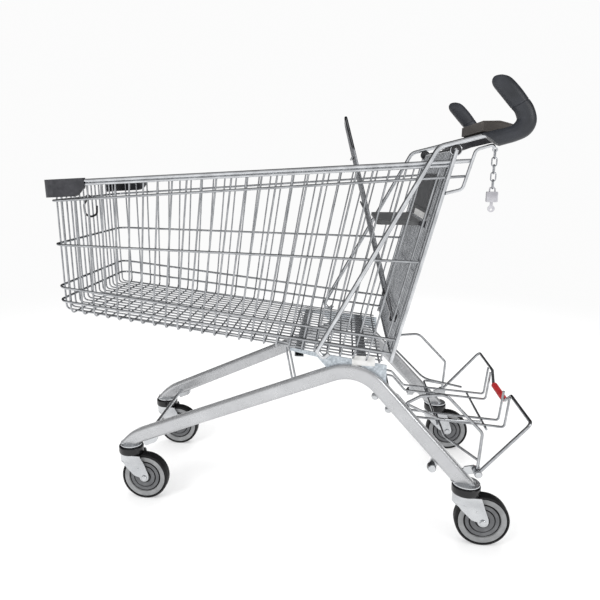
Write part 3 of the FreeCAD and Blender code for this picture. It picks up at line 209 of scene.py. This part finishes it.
# ------------------------------------------------------------------ mesh helpers
def finish_piece(name, bm, mats, body, replaced, bevel=0.0, segments=2, sharp=35.0):
    """Turn a bmesh into a smooth-shaded piece that rides on a body; bevel is in millimetres."""
    bmesh.ops.recalc_face_normals(bm, faces=bm.faces)
    mesh = bpy.data.meshes.new(name)
    bm.to_mesh(mesh)
    bm.free()
    for mat in mats:
        mesh.materials.append(mat)
    mesh.shade_smooth()
    mesh.set_sharp_from_angle(angle=math.radians(sharp))
    piece = bpy.data.objects.new(name, mesh)
    scene.collection.objects.link(piece)
    if bevel:
        rounding = piece.modifiers.new("rounded_edges", "BEVEL")
        rounding.width = bevel / 1000
        rounding.segments = segments
        rounding.limit_method = "ANGLE"
        rounding.angle_limit = math.radians(sharp)
    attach(piece, body)
    if replaced:
        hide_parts(*replaced)
    return piece


def lathe(bm, centre, axis, profile, segments=72):
    """Closed profile of (radius, offset, material index) in millimetres, turned about an axis."""
    axis = Vector(axis)
    side = Vector((1, 0, 0)) if abs(axis.x) < 0.5 else Vector((0, 0, 1))
    other = axis.cross(side)
    rings = []
    for radius, offset, _ in profile:
        ring = []
        for i in range(segments):
            turn = 2 * math.pi * i / segments
            ring.append(bm.verts.new(centre + axis * (offset / 1000)
                                     + (side * math.cos(turn) + other * math.sin(turn)) * (radius / 1000)))
        rings.append(ring)
    for j in range(len(profile)):
        first, second = rings[j], rings[(j + 1) % len(profile)]
        for i in range(segments):
            k = (i + 1) % segments
            face = bm.faces.new((first[i], first[k], second[k], second[i]))
            face.material_index = profile[j][2]


def prism(bm, section, half, y=0.0):
    """Section of (station, z) corners extruded to both sides of y; returns the two end faces."""
    ends = []
    for side in (-1, 1):
        ends.append([bm.verts.new(at(station, y + side * half, z)) for station, z in section])
    count = len(section)
    for i in range(count):
        k = (i + 1) % count
        bm.faces.new((ends[0][i], ends[0][k], ends[1][k], ends[1][i]))
    return [bm.faces.new(corners) for corners in ends]


# ------------------------------------------------------------------ casters
WHEELBASE = 853.0
TRAIL, WHEEL_R = 39.0, 62.5
HALF_TRACK_FRONT, HALF_TRACK_REAR = 168.0, 253.0
CASTERS = {"fl": (0.0, -HALF_TRACK_FRONT), "fr": (0.0, HALF_TRACK_FRONT),
           "rl": (WHEELBASE, -HALF_TRACK_REAR), "rr": (WHEELBASE, HALF_TRACK_REAR)}
TURNED_SEGMENTS = 96
# GROOVE marks the floors and walls of the grooves, painted near-black as the shade inside them
MID, GROOVE, LIGHT = 0, 1, 2
# one half of the wheel centre: radius, offset from its middle plane, surface up to the next point
WHEEL_HALF = [(5.1, 16.4, MID), (11.6, 16.4, MID), (13.4, 14.6, GROOVE), (13.8, 12.2, GROOVE),
              (16.6, 12.2, MID), (17.4, 13.2, MID), (27.6, 13.0, GROOVE), (28.0, 10.4, GROOVE),
              (30.2, 10.4, MID),
              (30.8, 12.6, MID), (39.0, 12.0, GROOVE), (39.4, 9.0, GROOVE), (42.6, 9.0, LIGHT),
              (43.2, 13.2, LIGHT), (46.5, 14.2, LIGHT), (52.5, 14.4, LIGHT), (55.2, 13.8, GROOVE),
              (56.2, 12.4, GROOVE), (56.9, 12.4, GROOVE)]
TYRE_HALF = [(57.0, 12.6, 0), (57.6, 14.2, 0), (59.4, 14.9, 0), (60.9, 14.2, 0), (62.0, 12.0, 0),
             (62.45, 8.0, 0), (WHEEL_R, 3.0, 0)]


def both_faces(half):
    """Whole profile from one half; a surface belongs to the same pair of points on both faces."""
    back = [(radius, -offset, half[i - 1][2] if i else half[0][2])
            for i, (radius, offset, _) in reversed(list(enumerate(half)))]
    return half + back


def caster_wheel(key, swivel_x, swivel_y):
    hub = at(swivel_x + TRAIL, swivel_y, WHEEL_R)
    bm = bmesh.new()
    lathe(bm, hub, (0, 1, 0), both_faces(WHEEL_HALF), TURNED_SEGMENTS)
    finish_piece("wheel_centre_" + key, bm, (WHEEL_MID, WHEEL_GROOVE_SHADE, WHEEL_LIGHT), "wheel_" + key,
                 ["caster_%s_wheel" % key], bevel=0.35, sharp=28)
    bm = bmesh.new()
    lathe(bm, hub, (0, 1, 0), both_faces(TYRE_HALF), TURNED_SEGMENTS)
    finish_piece("tyre_" + key, bm, (TYRE,), "wheel_" + key, ["caster_%s_tyre" % key])


# radius and height of the race cover's outline
COVER_PROFILE = [(11, 146.6), (23.5, 146.6), (24.6, 147.4), (25.6, 148.7), (27.2, 149.0), (29.6, 148.4),
                 (30.6, 146.9), (31.4, 146.7), (32.7, 145.6), (33.0, 144.0), (33.0, 131.5), (32.6, 129.2),
                 (31.4, 127.5), (30.2, 127.0), (30.1, 133.8), (11, 133.8)]


def race_cover(key, swivel_x, swivel_y):
    bm = bmesh.new()
    profile = [(radius, z, 0) for radius, z in COVER_PROFILE]
    lathe(bm, at(swivel_x, swivel_y, 0), (0, 0, 1), profile, TURNED_SEGMENTS)
    finish_piece("race_cover_" + key, bm, (BLACK,), "caster_" + key, ["caster_%s_race_cover" % key],
                 sharp=50)


LEG_HALF, CROWN_HALF, WIDEN_FROM = 20.4, 28.2, 94.0     # half widths low and high, and where they part
FORK_TOP, SKIRT_LOW, SKIRT_END = 126.7, 104.0, 92.0
FORK_NOSE, FORK_TURN, FORK_TURN_R = -30.6, 2.0, 30.0
EDGE_TOP_X, EDGE_LOW_X, EDGE_LOW_Z = -13.0, 25.0, 55.5  # the straight front edge of a leg
REAR_TOP_X, REAR_TAPER_FROM = 31.0, 70.0
EYE_X, EYE_Z, EYE_R = 39.2, 64.0, 12.4
FORK_SHEET_T, FORK_ROUNDING = 2.6, 0.6
FORK_COLUMNS = 16
FORK_LEVELS = [51.62, 52.0, 52.8, 54.2, 56.2, 59, 62.5, 67, 73, 79, 85, 89, 92, 94.5, 97, 99.5, 102, 104,
               108, 112, 116, 119.5, 122.5, 125, FORK_TOP]
DIMPLE_X, DIMPLE_Z = 24.0, 88.0


def blend_value(low, high, t):
    t = min(max(t, 0.0), 1.0)
    return low + (high - low) * t * t * (3 - 2 * t)


def eye_reach(z):
    """Half length of the round eye at a height below its centre."""
    return math.sqrt(max(EYE_R ** 2 - (EYE_Z - z) ** 2, 0.0))


def fork_front(z):
    """Front edge of a fork leg, as an offset behind the swivel axis."""
    if z >= SKIRT_LOW:
        return FORK_NOSE
    if z >= SKIRT_END:
        return EDGE_TOP_X + (FORK_NOSE - EDGE_TOP_X) * ((z - SKIRT_END) / (SKIRT_LOW - SKIRT_END)) ** 1.6
    edge = EDGE_LOW_X - (EDGE_LOW_X - EDGE_TOP_X) * (z - EDGE_LOW_Z) / (SKIRT_END - EDGE_LOW_Z)
    if z < EYE_Z:
        edge = max(edge, EYE_X - eye_reach(z))
    return edge


def fork_rear(z):
    """Rear edge of a fork leg: round at the eye, then upright, then leaning forwards."""
    if z < EYE_Z:
        return EYE_X + eye_reach(z)
    low = EYE_X + EYE_R
    return low - (low - REAR_TOP_X) * max(z - REAR_TAPER_FROM, 0.0) / (FORK_TOP - REAR_TAPER_FROM)


def fork_row(z):
    """Points (x, y) of one leg at a height: forwards from the rear edge, then round the front."""
    half = blend_value(LEG_HALF, CROWN_HALF, (z - WIDEN_FROM) / (FORK_TOP - WIDEN_FROM))
    front, rear = fork_front(z), fork_rear(z)
    straight = max(rear - max(FORK_TURN, front), 0.0)
    turn_end = 0.0
    if front < FORK_TURN:
        turn_end = math.asin(min((FORK_TURN - front) / (FORK_TURN - FORK_NOSE), 1.0))
    length = straight + turn_end * FORK_TURN_R
    row = []
    for i in range(FORK_COLUMNS + 1):
        run = length * i / FORK_COLUMNS
        if run <= straight:
            row.append((rear - run, half))
        else:
            turn = (run - straight) / FORK_TURN_R
            row.append((FORK_TURN - (FORK_TURN - FORK_NOSE) * math.sin(turn), half * math.cos(turn)))
    return row


def caster_fork(key, swivel_x, swivel_y):
    """Pressed sheet: two legs that widen upwards and run together round the front of the crown."""
    bm = bmesh.new()
    for side in (-1, 1):
        rows = [[bm.verts.new(at(swivel_x + x, swivel_y + side * y, z)) for x, y in fork_row(z)]
                for z in FORK_LEVELS]
        for upper, lower in zip(rows, rows[1:]):
            for i in range(FORK_COLUMNS):
                bm.faces.new((upper[i], upper[i + 1], lower[i + 1], lower[i]))
    bmesh.ops.remove_doubles(bm, verts=bm.verts, dist=0.0002)
    bmesh.ops.recalc_face_normals(bm, faces=bm.faces)
    # the sheet's thickness goes inwards, so its outside must face away from the fork's middle
    middle = at(swivel_x + 10, swivel_y, 90)
    outward = sum((f.normal.dot(f.calc_center_median() - middle) * f.calc_area() for f in bm.faces))
    if outward < 0:
        bmesh.ops.reverse_faces(bm, faces=bm.faces)
    mesh = bpy.data.meshes.new("fork_" + key)
    bm.to_mesh(mesh)
    bm.free()
    mesh.materials.append(PRESSED)
    mesh.shade_smooth()
    fork = bpy.data.objects.new("fork_" + key, mesh)
    scene.collection.objects.link(fork)
    sheet = fork.modifiers.new("sheet", "SOLIDIFY")
    sheet.thickness = FORK_SHEET_T / 1000
    sheet.offset = -1
    rounding = fork.modifiers.new("rounded_edges", "BEVEL")
    rounding.width = FORK_ROUNDING / 1000
    rounding.segments = 2
    rounding.limit_method = "ANGLE"
    rounding.angle_limit = math.radians(50)
    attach(fork, "caster_" + key)
    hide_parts("caster_%s_fork" % key)


def fork_crown(key, swivel_x, swivel_y):
    """Round crown on the fork, and a small round dimple pressed out on each leg."""
    bm = bmesh.new()
    crown = [(6.2, 124.2, 0), (25.2, 124.2, 0), (26.6, 125.2, 0), (27.6, 127.0, 0), (28.0, 133.4, 0),
             (6.2, 133.4, 0)]
    lathe(bm, at(swivel_x, swivel_y, 0), (0, 0, 1), crown, 72)
    for side in (-1, 1):
        dimple = [(0.01, -0.6, 0), (2.2, -0.6, 0), (2.2, 0.1, 0), (1.5, 0.7, 0), (0.01, 0.85, 0)]
        spot = at(swivel_x + DIMPLE_X, swivel_y + side * LEG_HALF, DIMPLE_Z)
        lathe(bm, spot, (0, side, 0), dimple, 24)
    finish_piece("fork_crown_" + key, bm, (PRESSED,), "caster_" + key, None, bevel=0.3)


for caster_key, (swivel_x, swivel_y) in CASTERS.items():
    caster_wheel(caster_key, swivel_x, swivel_y)
    race_cover(caster_key, swivel_x, swivel_y)
    caster_fork(caster_key, swivel_x, swivel_y)
    fork_crown(caster_key, swivel_x, swivel_y)

# ------------------------------------------------------------------ handle
# grip sections: centre station, centre z, heading angle, half depth, half width
GRIP_SECTIONS = [(822, 930, 14.5, 18.5, 17.5), (850, 937, 14.5, 17.6, 17.5), (876, 943.8, 15, 16.9, 17.6),
                 (896, 949.8, 20, 17.1, 17.8), (913, 961.5, 42, 20, 18.3), (919, 977, 78, 19.8, 18.5),
                 (913, 997, 108, 18.5, 18.4), (901.5, 1012, 122, 18.7, 18), (885, 1032, 127, 19, 17.2),
                 (868.5, 1049.5, 132, 18.0, 15.8), (857.5, 1056.7, 140, 14.0, 13.0),
                 (850.5, 1060, 146, 8.4, 8.4), (847.6, 1061.8, 150, 3.4, 3.9)]
GRIP_POINTS, GRIP_STEPS = 48, 8        # points round a section, and steps from one section to the next
GRIP_SQUARENESS = 0.035
grip_low, grip_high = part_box("horn_grip_left")
GRIP_Y = -(grip_low.y + grip_high.y) / 2 * 1000
SEAM_AT, SEAM_DEPTH = 6.85, 1.0        # a shallow groove round the horn, counted in sections
MOUTH_TOP, MOUTH_LOW = (829.9, 951.0), (866.6, 925.7)


def spline(values, t):
    """Catmull-Rom value at parameter t of a list of numbers."""
    last = len(values) - 1
    i = min(int(t), last - 1)
    f = t - i
    a, b, c, d = (values[min(max(j, 0), last)] for j in (i - 1, i, i + 1, i + 2))
    square, cube = 2 * a - 5 * b + 4 * c - d, 3 * b - a - 3 * c + d
    return 0.5 * (2 * b + (c - a) * f + square * f * f + cube * f ** 3)


def grip_ring(bm, side, t, shrink):
    """Slightly squared oval round the grip's centre line."""
    station, z, angle, depth, width = (spline([s[k] for s in GRIP_SECTIONS], t) for k in range(5))
    heading = math.radians(angle)
    ring = []
    for i in range(GRIP_POINTS):
        turn = 2 * math.pi * i / GRIP_POINTS
        squared = 1 + GRIP_SQUARENESS * math.sin(2 * turn) ** 2
        up = (depth - shrink) * math.cos(turn) * squared
        out = (width - shrink) * math.sin(turn) * squared
        ring.append(bm.verts.new(at(station - math.sin(heading) * up, side * GRIP_Y + out,
                                    z + math.cos(heading) * up)))
    return ring


def horn_grip(name, side):
    """Grip swept through its sections, with the seam's groove and a slanted cut at the mouth."""
    bm = bmesh.new()
    stops = [i / GRIP_STEPS for i in range(GRIP_STEPS * (len(GRIP_SECTIONS) - 1) + 1)]
    steps = [(t, 0.0) for t in stops if abs(t - SEAM_AT) > 0.1]
    steps += [(SEAM_AT - 0.05, 0.0), (SEAM_AT - 0.02, SEAM_DEPTH), (SEAM_AT + 0.02, SEAM_DEPTH),
              (SEAM_AT + 0.05, 0.0)]
    rings = [grip_ring(bm, side, t, shrink) for t, shrink in sorted(steps)]
    for first, second in zip(rings, rings[1:]):
        for i in range(GRIP_POINTS):
            k = (i + 1) % GRIP_POINTS
            bm.faces.new((first[i], first[k], second[k], second[i]))
    bm.faces.new(rings[0])
    bm.faces.new(rings[-1])
    mouth = at(MOUTH_TOP[0], 0, MOUTH_TOP[1])
    along = at(MOUTH_LOW[0], 0, MOUTH_LOW[1]) - mouth
    cut = bmesh.ops.bisect_plane(bm, geom=bm.verts[:] + bm.edges[:] + bm.faces[:], plane_co=mouth,
                                 plane_no=Vector((-along.z, 0, along.x)).normalized(), clear_inner=True)
    rim = [e for e in cut["geom_cut"] if isinstance(e, bmesh.types.BMEdge)]
    bmesh.ops.contextual_create(bm, geom=rim)
    finish_piece(name, bm, (SOFT_GRIP,), "trolley", ["horn_" + name], bevel=0.8, segments=3,
                 sharp=42)


horn_grip("grip_left", -1)
horn_grip("grip_right", 1)

BAR_END_INSET, BLOCK_HALF, BLOCK_FIELD_Z = 12.2, 129.0, 985.0
BAR_SECTION = [(868, 946), (867, 955), (873, 959), (905, 967), (912, 961), (911, 951), (901, 944), (880, 942)]
BLOCK_SECTION = [(862, 963), (862, 986.4), (899, 986.4), (916, 982), (932, 977), (934, 966), (905, 958)]


def handle_crossbar():
    """Push bar with its raised block; the block's top and ends have shallow sunk fields."""
    bm = bmesh.new()
    prism(bm, BAR_SECTION, GRIP_Y - BAR_END_INSET)
    block_ends = prism(bm, BLOCK_SECTION, BLOCK_HALF)
    tops = [f for f in bm.faces if f.calc_center_median().z > BLOCK_FIELD_Z / 1000]
    bmesh.ops.recalc_face_normals(bm, faces=bm.faces)
    bmesh.ops.inset_individual(bm, faces=tops, thickness=0.006, depth=0.0)
    bmesh.ops.inset_individual(bm, faces=tops, thickness=0.0006, depth=-0.0012)
    bmesh.ops.inset_individual(bm, faces=block_ends, thickness=0.0032, depth=0.0)
    bmesh.ops.inset_individual(bm, faces=block_ends, thickness=0.0004, depth=-0.0008)
    finish_piece("push_bar", bm, (BAR_BROWN,), "trolley", ["handle_crossbar"], bevel=1.6,
                 segments=3, sharp=30)


handle_crossbar()


# ------------------------------------------------------------------ hinge knobs
def hinge_knobs():
    """Two turned bearing knobs with a bright ring; the ring, a band of bright wire metal on each rounded rim,
    is a painted highlight.
    """
    knob_low, knob_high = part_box("hinge_knobs")
    outer = knob_high.y * 1000
    centre_z = (knob_low.z + knob_high.z) / 2 * 1000
    station = ((knob_low.x + knob_high.x) / 2 - FRONT_SWIVEL) * 1000
    bm = bmesh.new()
    for side in (-1, 1):
        # material 1 covers the rounded rim: bright wire metal as a painted highlight
        profile = [(4.2, 0, 0), (10.6, 0, 0), (11.2, 0.9, 1), (12.2, 1.2, 1), (12.9, 2.2, 1), (13.0, 4.2, 0),
                   (12.5, 5.0, 0), (12.5, 13.4, 0), (11.6, 14.8, 0), (4.2, 15.0, 0)]
        turned = [(radius, -depth, mat) for radius, depth, mat in profile]
        lathe(bm, at(station, side * outer, centre_z), (0, side, 0), turned, 64)
    finish_piece("gate_hinge_knobs", bm, (BLACK, WIRE_BRIGHT), "trolley", ["hinge_knobs"])


hinge_knobs()


# ------------------------------------------------------------------ blank labels and moulded detail
LABEL_T = 0.35
GATE_HINGE_STATION, GATE_HINGE_Z = 784.0, 917.0
GATE_DOWN = Vector((-116, 0, -470)).normalized()
GATE_OUT = Vector((GATE_DOWN.z, 0, -GATE_DOWN.x))
PANEL_FACE, PANEL_BORDER_W, PANEL_BORDER_H = 5.0, 298.0, 84.0
SEAT_RIB_LOW, SEAT_RIB_TOP, SEAT_CLIP_LOW, SEAT_CLIP_TOP = 755.6, 756.6, 747.0, 757.4
PLATE_LABEL_STATION, PLATE_LABEL_Z, PLATE_FACE = 579, 442, 1.6


def label(name, origin, across, down, width, height, body):
    """Blank paper label with rounded corners, lying on a face."""
    across, down = Vector(across).normalized(), Vector(down).normalized()
    out = across.cross(down).normalized()
    corner = min(width, height) * 0.12
    outline = []
    for cx, cy, start in ((width - corner, corner, -90), (width - corner, height - corner, 0),
                          (corner, height - corner, 90), (corner, corner, 180)):
        for i in range(5):
            turn = math.radians(start + 22.5 * i)
            outline.append((cx + corner * math.cos(turn), cy + corner * math.sin(turn)))
    bm = bmesh.new()
    faces = []
    for lift in (0.0, -LABEL_T):
        corners = [bm.verts.new(origin + (across * a + down * b + out * lift) / 1000) for a, b in outline]
        faces.append(corners)
    for i in range(len(outline)):
        k = (i + 1) % len(outline)
        bm.faces.new((faces[0][i], faces[0][k], faces[1][k], faces[1][i]))
    bm.faces.new(faces[0])
    bm.faces.new(faces[1])
    finish_piece(name, bm, (PAPER,), body, None, bevel=0.1)


def gate_point(down, y, out):
    """Point on the gate: down from its hinge, across, and out from its wires, in millimetres."""
    return at(GATE_HINGE_STATION, y, GATE_HINGE_Z) + (GATE_DOWN * down + GATE_OUT * out) / 1000


def moulded_frame(bm, corner, across, down, out, width, height, rim, thick):
    """Closed rectangular rim of square section standing on a face."""
    loops = []
    for inset, lift in ((0.0, 0.0), (0.0, thick), (rim, thick), (rim, 0.0)):
        right, low = width - inset, height - inset
        spots = ((inset, inset), (right, inset), (right, low), (inset, low))
        loops.append([bm.verts.new(corner + (across * a + down * b + out * lift) / 1000) for a, b in spots])
    for j in range(4):
        first, second = loops[j], loops[(j + 1) % 4]
        for i in range(4):
            k = (i + 1) % 4
            bm.faces.new((first[i], first[k], second[k], second[i]))


def panel_border():
    bm = bmesh.new()
    corner = gate_point(58, -PANEL_BORDER_W / 2, PANEL_FACE)
    moulded_frame(bm, corner, Vector((0, 1, 0)), GATE_DOWN, GATE_OUT, PANEL_BORDER_W, PANEL_BORDER_H,
                  rim=3.0, thick=1.4)
    finish_piece("gate_panel_border", bm, (PANEL_DARK,), "gate", None, bevel=0.6)


def seat_ribs():
    """Six low ribs along the seat plate and two clips over its front edge."""
    seat_low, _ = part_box("seat_plate")
    front = (seat_low.x - FRONT_SWIVEL) * 1000
    bm = bmesh.new()
    rib = [(front + 18, SEAT_RIB_LOW), (front + 18, SEAT_RIB_TOP), (front + 74, SEAT_RIB_TOP),
           (front + 74, SEAT_RIB_LOW)]
    for y in (-100, -60, -20, 20, 60, 100):
        prism(bm, rib, 3.0, y)
    clip = [(front, SEAT_CLIP_LOW), (front, SEAT_CLIP_TOP), (front + 16, SEAT_CLIP_TOP),
            (front + 16, SEAT_RIB_LOW), (front + 1.2, SEAT_RIB_LOW), (front + 1.2, SEAT_CLIP_LOW)]
    for y in (-112, 112):
        prism(bm, clip, 13.0, y)
    finish_piece("seat_plate_ribs", bm, (SEAT_GREY,), "seat", None, bevel=0.4)


def plate_label():
    """Label on the outer face of the left support plate, which follows the slope of the side tube."""
    slope = (HALF_TRACK_REAR - HALF_TRACK_FRONT) / WHEELBASE
    face_y = -(HALF_TRACK_FRONT + slope * PLATE_LABEL_STATION) - PLATE_FACE
    origin = at(PLATE_LABEL_STATION, face_y, PLATE_LABEL_Z)
    label("plate_label", origin, (1, -slope, 0.02), (0, 0, -1), 54, 24, "trolley")


panel_border()
seat_ribs()
label("panel_label", gate_point(149.5, 74, PANEL_FACE + 0.1), (0, -1, 0), GATE_DOWN, 196, 15.5, "gate")
plate_label()


# ------------------------------------------------------------------ stage, light, camera
STAGE_WHITE = 0.97
FLOOR_RADIUS, FADE_FROM, FADE_TO = 60.0, 0.9, 3.2


def make_floor():
    """Pale floor that fades into the surroundings a few metres out."""
    mesh = bpy.data.meshes.new("floor")
    bm = bmesh.new()
    bmesh.ops.create_circle(bm, cap_ends=True, segments=96, radius=FLOOR_RADIUS)
    bm.to_mesh(mesh)
    bm.free()
    floor = bpy.data.objects.new("floor", mesh)
    scene.collection.objects.link(floor)
    mat = bpy.data.materials.new("floor_pale")
    mat.use_nodes = True
    tree = mat.node_tree
    tree.nodes.clear()
    output = tree.nodes.new("ShaderNodeOutputMaterial")
    diffuse = tree.nodes.new("ShaderNodeBsdfDiffuse")
    diffuse.inputs["Color"].default_value = (0.62, 0.62, 0.62, 1)
    glow = tree.nodes.new("ShaderNodeEmission")
    glow.inputs["Color"].default_value = (1, 1, 1, 1)
    glow.inputs["Strength"].default_value = 0.34
    near = tree.nodes.new("ShaderNodeAddShader")
    tree.links.new(diffuse.outputs[0], near.inputs[0])
    tree.links.new(glow.outputs[0], near.inputs[1])
    far = tree.nodes.new("ShaderNodeEmission")
    far.inputs["Color"].default_value = (STAGE_WHITE, STAGE_WHITE, STAGE_WHITE, 1)
    coords = tree.nodes.new("ShaderNodeTexCoord")
    distance = tree.nodes.new("ShaderNodeVectorMath")
    distance.operation = "LENGTH"
    tree.links.new(coords.outputs["Object"], distance.inputs[0])
    fade = tree.nodes.new("ShaderNodeMapRange")
    fade.interpolation_type = "SMOOTHSTEP"
    fade.inputs["From Min"].default_value = FADE_FROM
    fade.inputs["From Max"].default_value = FADE_TO
    tree.links.new(distance.outputs["Value"], fade.inputs["Value"])
    mix = tree.nodes.new("ShaderNodeMixShader")
    tree.links.new(fade.outputs["Result"], mix.inputs["Fac"])
    tree.links.new(near.outputs[0], mix.inputs[1])
    tree.links.new(far.outputs[0], mix.inputs[2])
    tree.links.new(mix.outputs[0], output.inputs["Surface"])
    mesh.materials.append(mat)


make_floor()


def area_light(name, spot, target, size, power, mirrored=True):
    data = bpy.data.lights.new(name, "AREA")
    data.energy = power
    data.size = size
    lamp = bpy.data.objects.new(name, data)
    lamp.visible_glossy = mirrored
    lamp.location = spot
    lamp.rotation_euler = (Vector(target) - Vector(spot)).to_track_quat("-Z", "Y").to_euler()
    scene.collection.objects.link(lamp)


area_light("key", (-1.8, -2.6, 2.4), (0, 0, 0.5), 1.4, 60, mirrored=False)
area_light("fill", (2.6, -1.8, 1.8), (0, 0, 0.5), 1.2, 22)
area_light("back", (0.6, 2.4, 2.6), (0, 0, 0.4), 1.6, 30, mirrored=False)


def studio_world():
    """White surroundings; what shiny surfaces mirror is a room lit from -Y, dark behind and overhead."""
    world = bpy.data.worlds.new("studio")
    scene.world = world
    world.use_nodes = True
    tree = world.node_tree
    sky = tree.nodes["Background"]
    coords = tree.nodes.new("ShaderNodeTexCoord")
    split = tree.nodes.new("ShaderNodeSeparateXYZ")
    tree.links.new(coords.outputs["Generated"], split.inputs["Vector"])

    def ramp(axis, stops):
        span = tree.nodes.new("ShaderNodeMapRange")
        span.inputs["From Min"].default_value = -1
        span.inputs["From Max"].default_value = 1
        tree.links.new(split.outputs[axis], span.inputs["Value"])
        node = tree.nodes.new("ShaderNodeValToRGB")
        tree.links.new(span.outputs["Result"], node.inputs["Fac"])
        elements = node.color_ramp.elements
        for i, (position, value) in enumerate(stops):
            element = elements[i] if i < 2 else elements.new(position)
            element.position = position
            element.color = (value, value, value, 1)
        return node.outputs["Color"]

    def times(first, second):
        node = tree.nodes.new("ShaderNodeMix")
        node.data_type = "RGBA"
        node.blend_type = "MULTIPLY"
        node.inputs["Factor"].default_value = 1.0
        tree.links.new(first, node.inputs[6])
        tree.links.new(second, node.inputs[7])
        return node.outputs[2]

    # the height ramp has a bright band just above eye level, a dark ceiling and a lit panel in it
    height = ramp("Z", [(0.0, 0.9), (1.0, 0.5), (0.5, 0.95), (0.62, 1.0), (0.72, 0.45), (0.88, 0.3),
                        (0.92, 1.0)])
    depth = ramp("Y", [(0.0, 1.25), (1.0, 0.06), (0.2, 1.15), (0.42, 0.42), (0.7, 0.1)])
    sides = ramp("X", [(0.0, 0.45), (1.0, 0.6), (0.3, 1.15), (0.42, 0.8), (0.55, 1.1), (0.72, 0.55)])
    room = times(times(height, depth), sides)
    path = tree.nodes.new("ShaderNodeLightPath")
    choose = tree.nodes.new("ShaderNodeMix")
    choose.data_type = "RGBA"
    tree.links.new(path.outputs["Is Glossy Ray"], choose.inputs["Factor"])
    choose.inputs[6].default_value = (STAGE_WHITE, STAGE_WHITE, STAGE_WHITE, 1)
    tree.links.new(room, choose.inputs[7])
    tree.links.new(choose.outputs[2], sky.inputs["Color"])
    sky.inputs["Strength"].default_value = 1.0


studio_world()
scene.view_settings.view_transform = "Standard"

camera_data = bpy.data.cameras.new("camera")
camera_data.sensor_width = 36
camera_data.lens = 36
camera_data.shift_x = 0.076
camera_data.shift_y = -0.0314
camera_data.clip_end = 200
camera = bpy.data.objects.new("camera", camera_data)
camera.location = at(550.1, -1614.8, 876.1)
camera.rotation_euler = (math.radians(79.45), 0, math.radians(8.43))
scene.collection.objects.link(camera)
scene.camera = camera
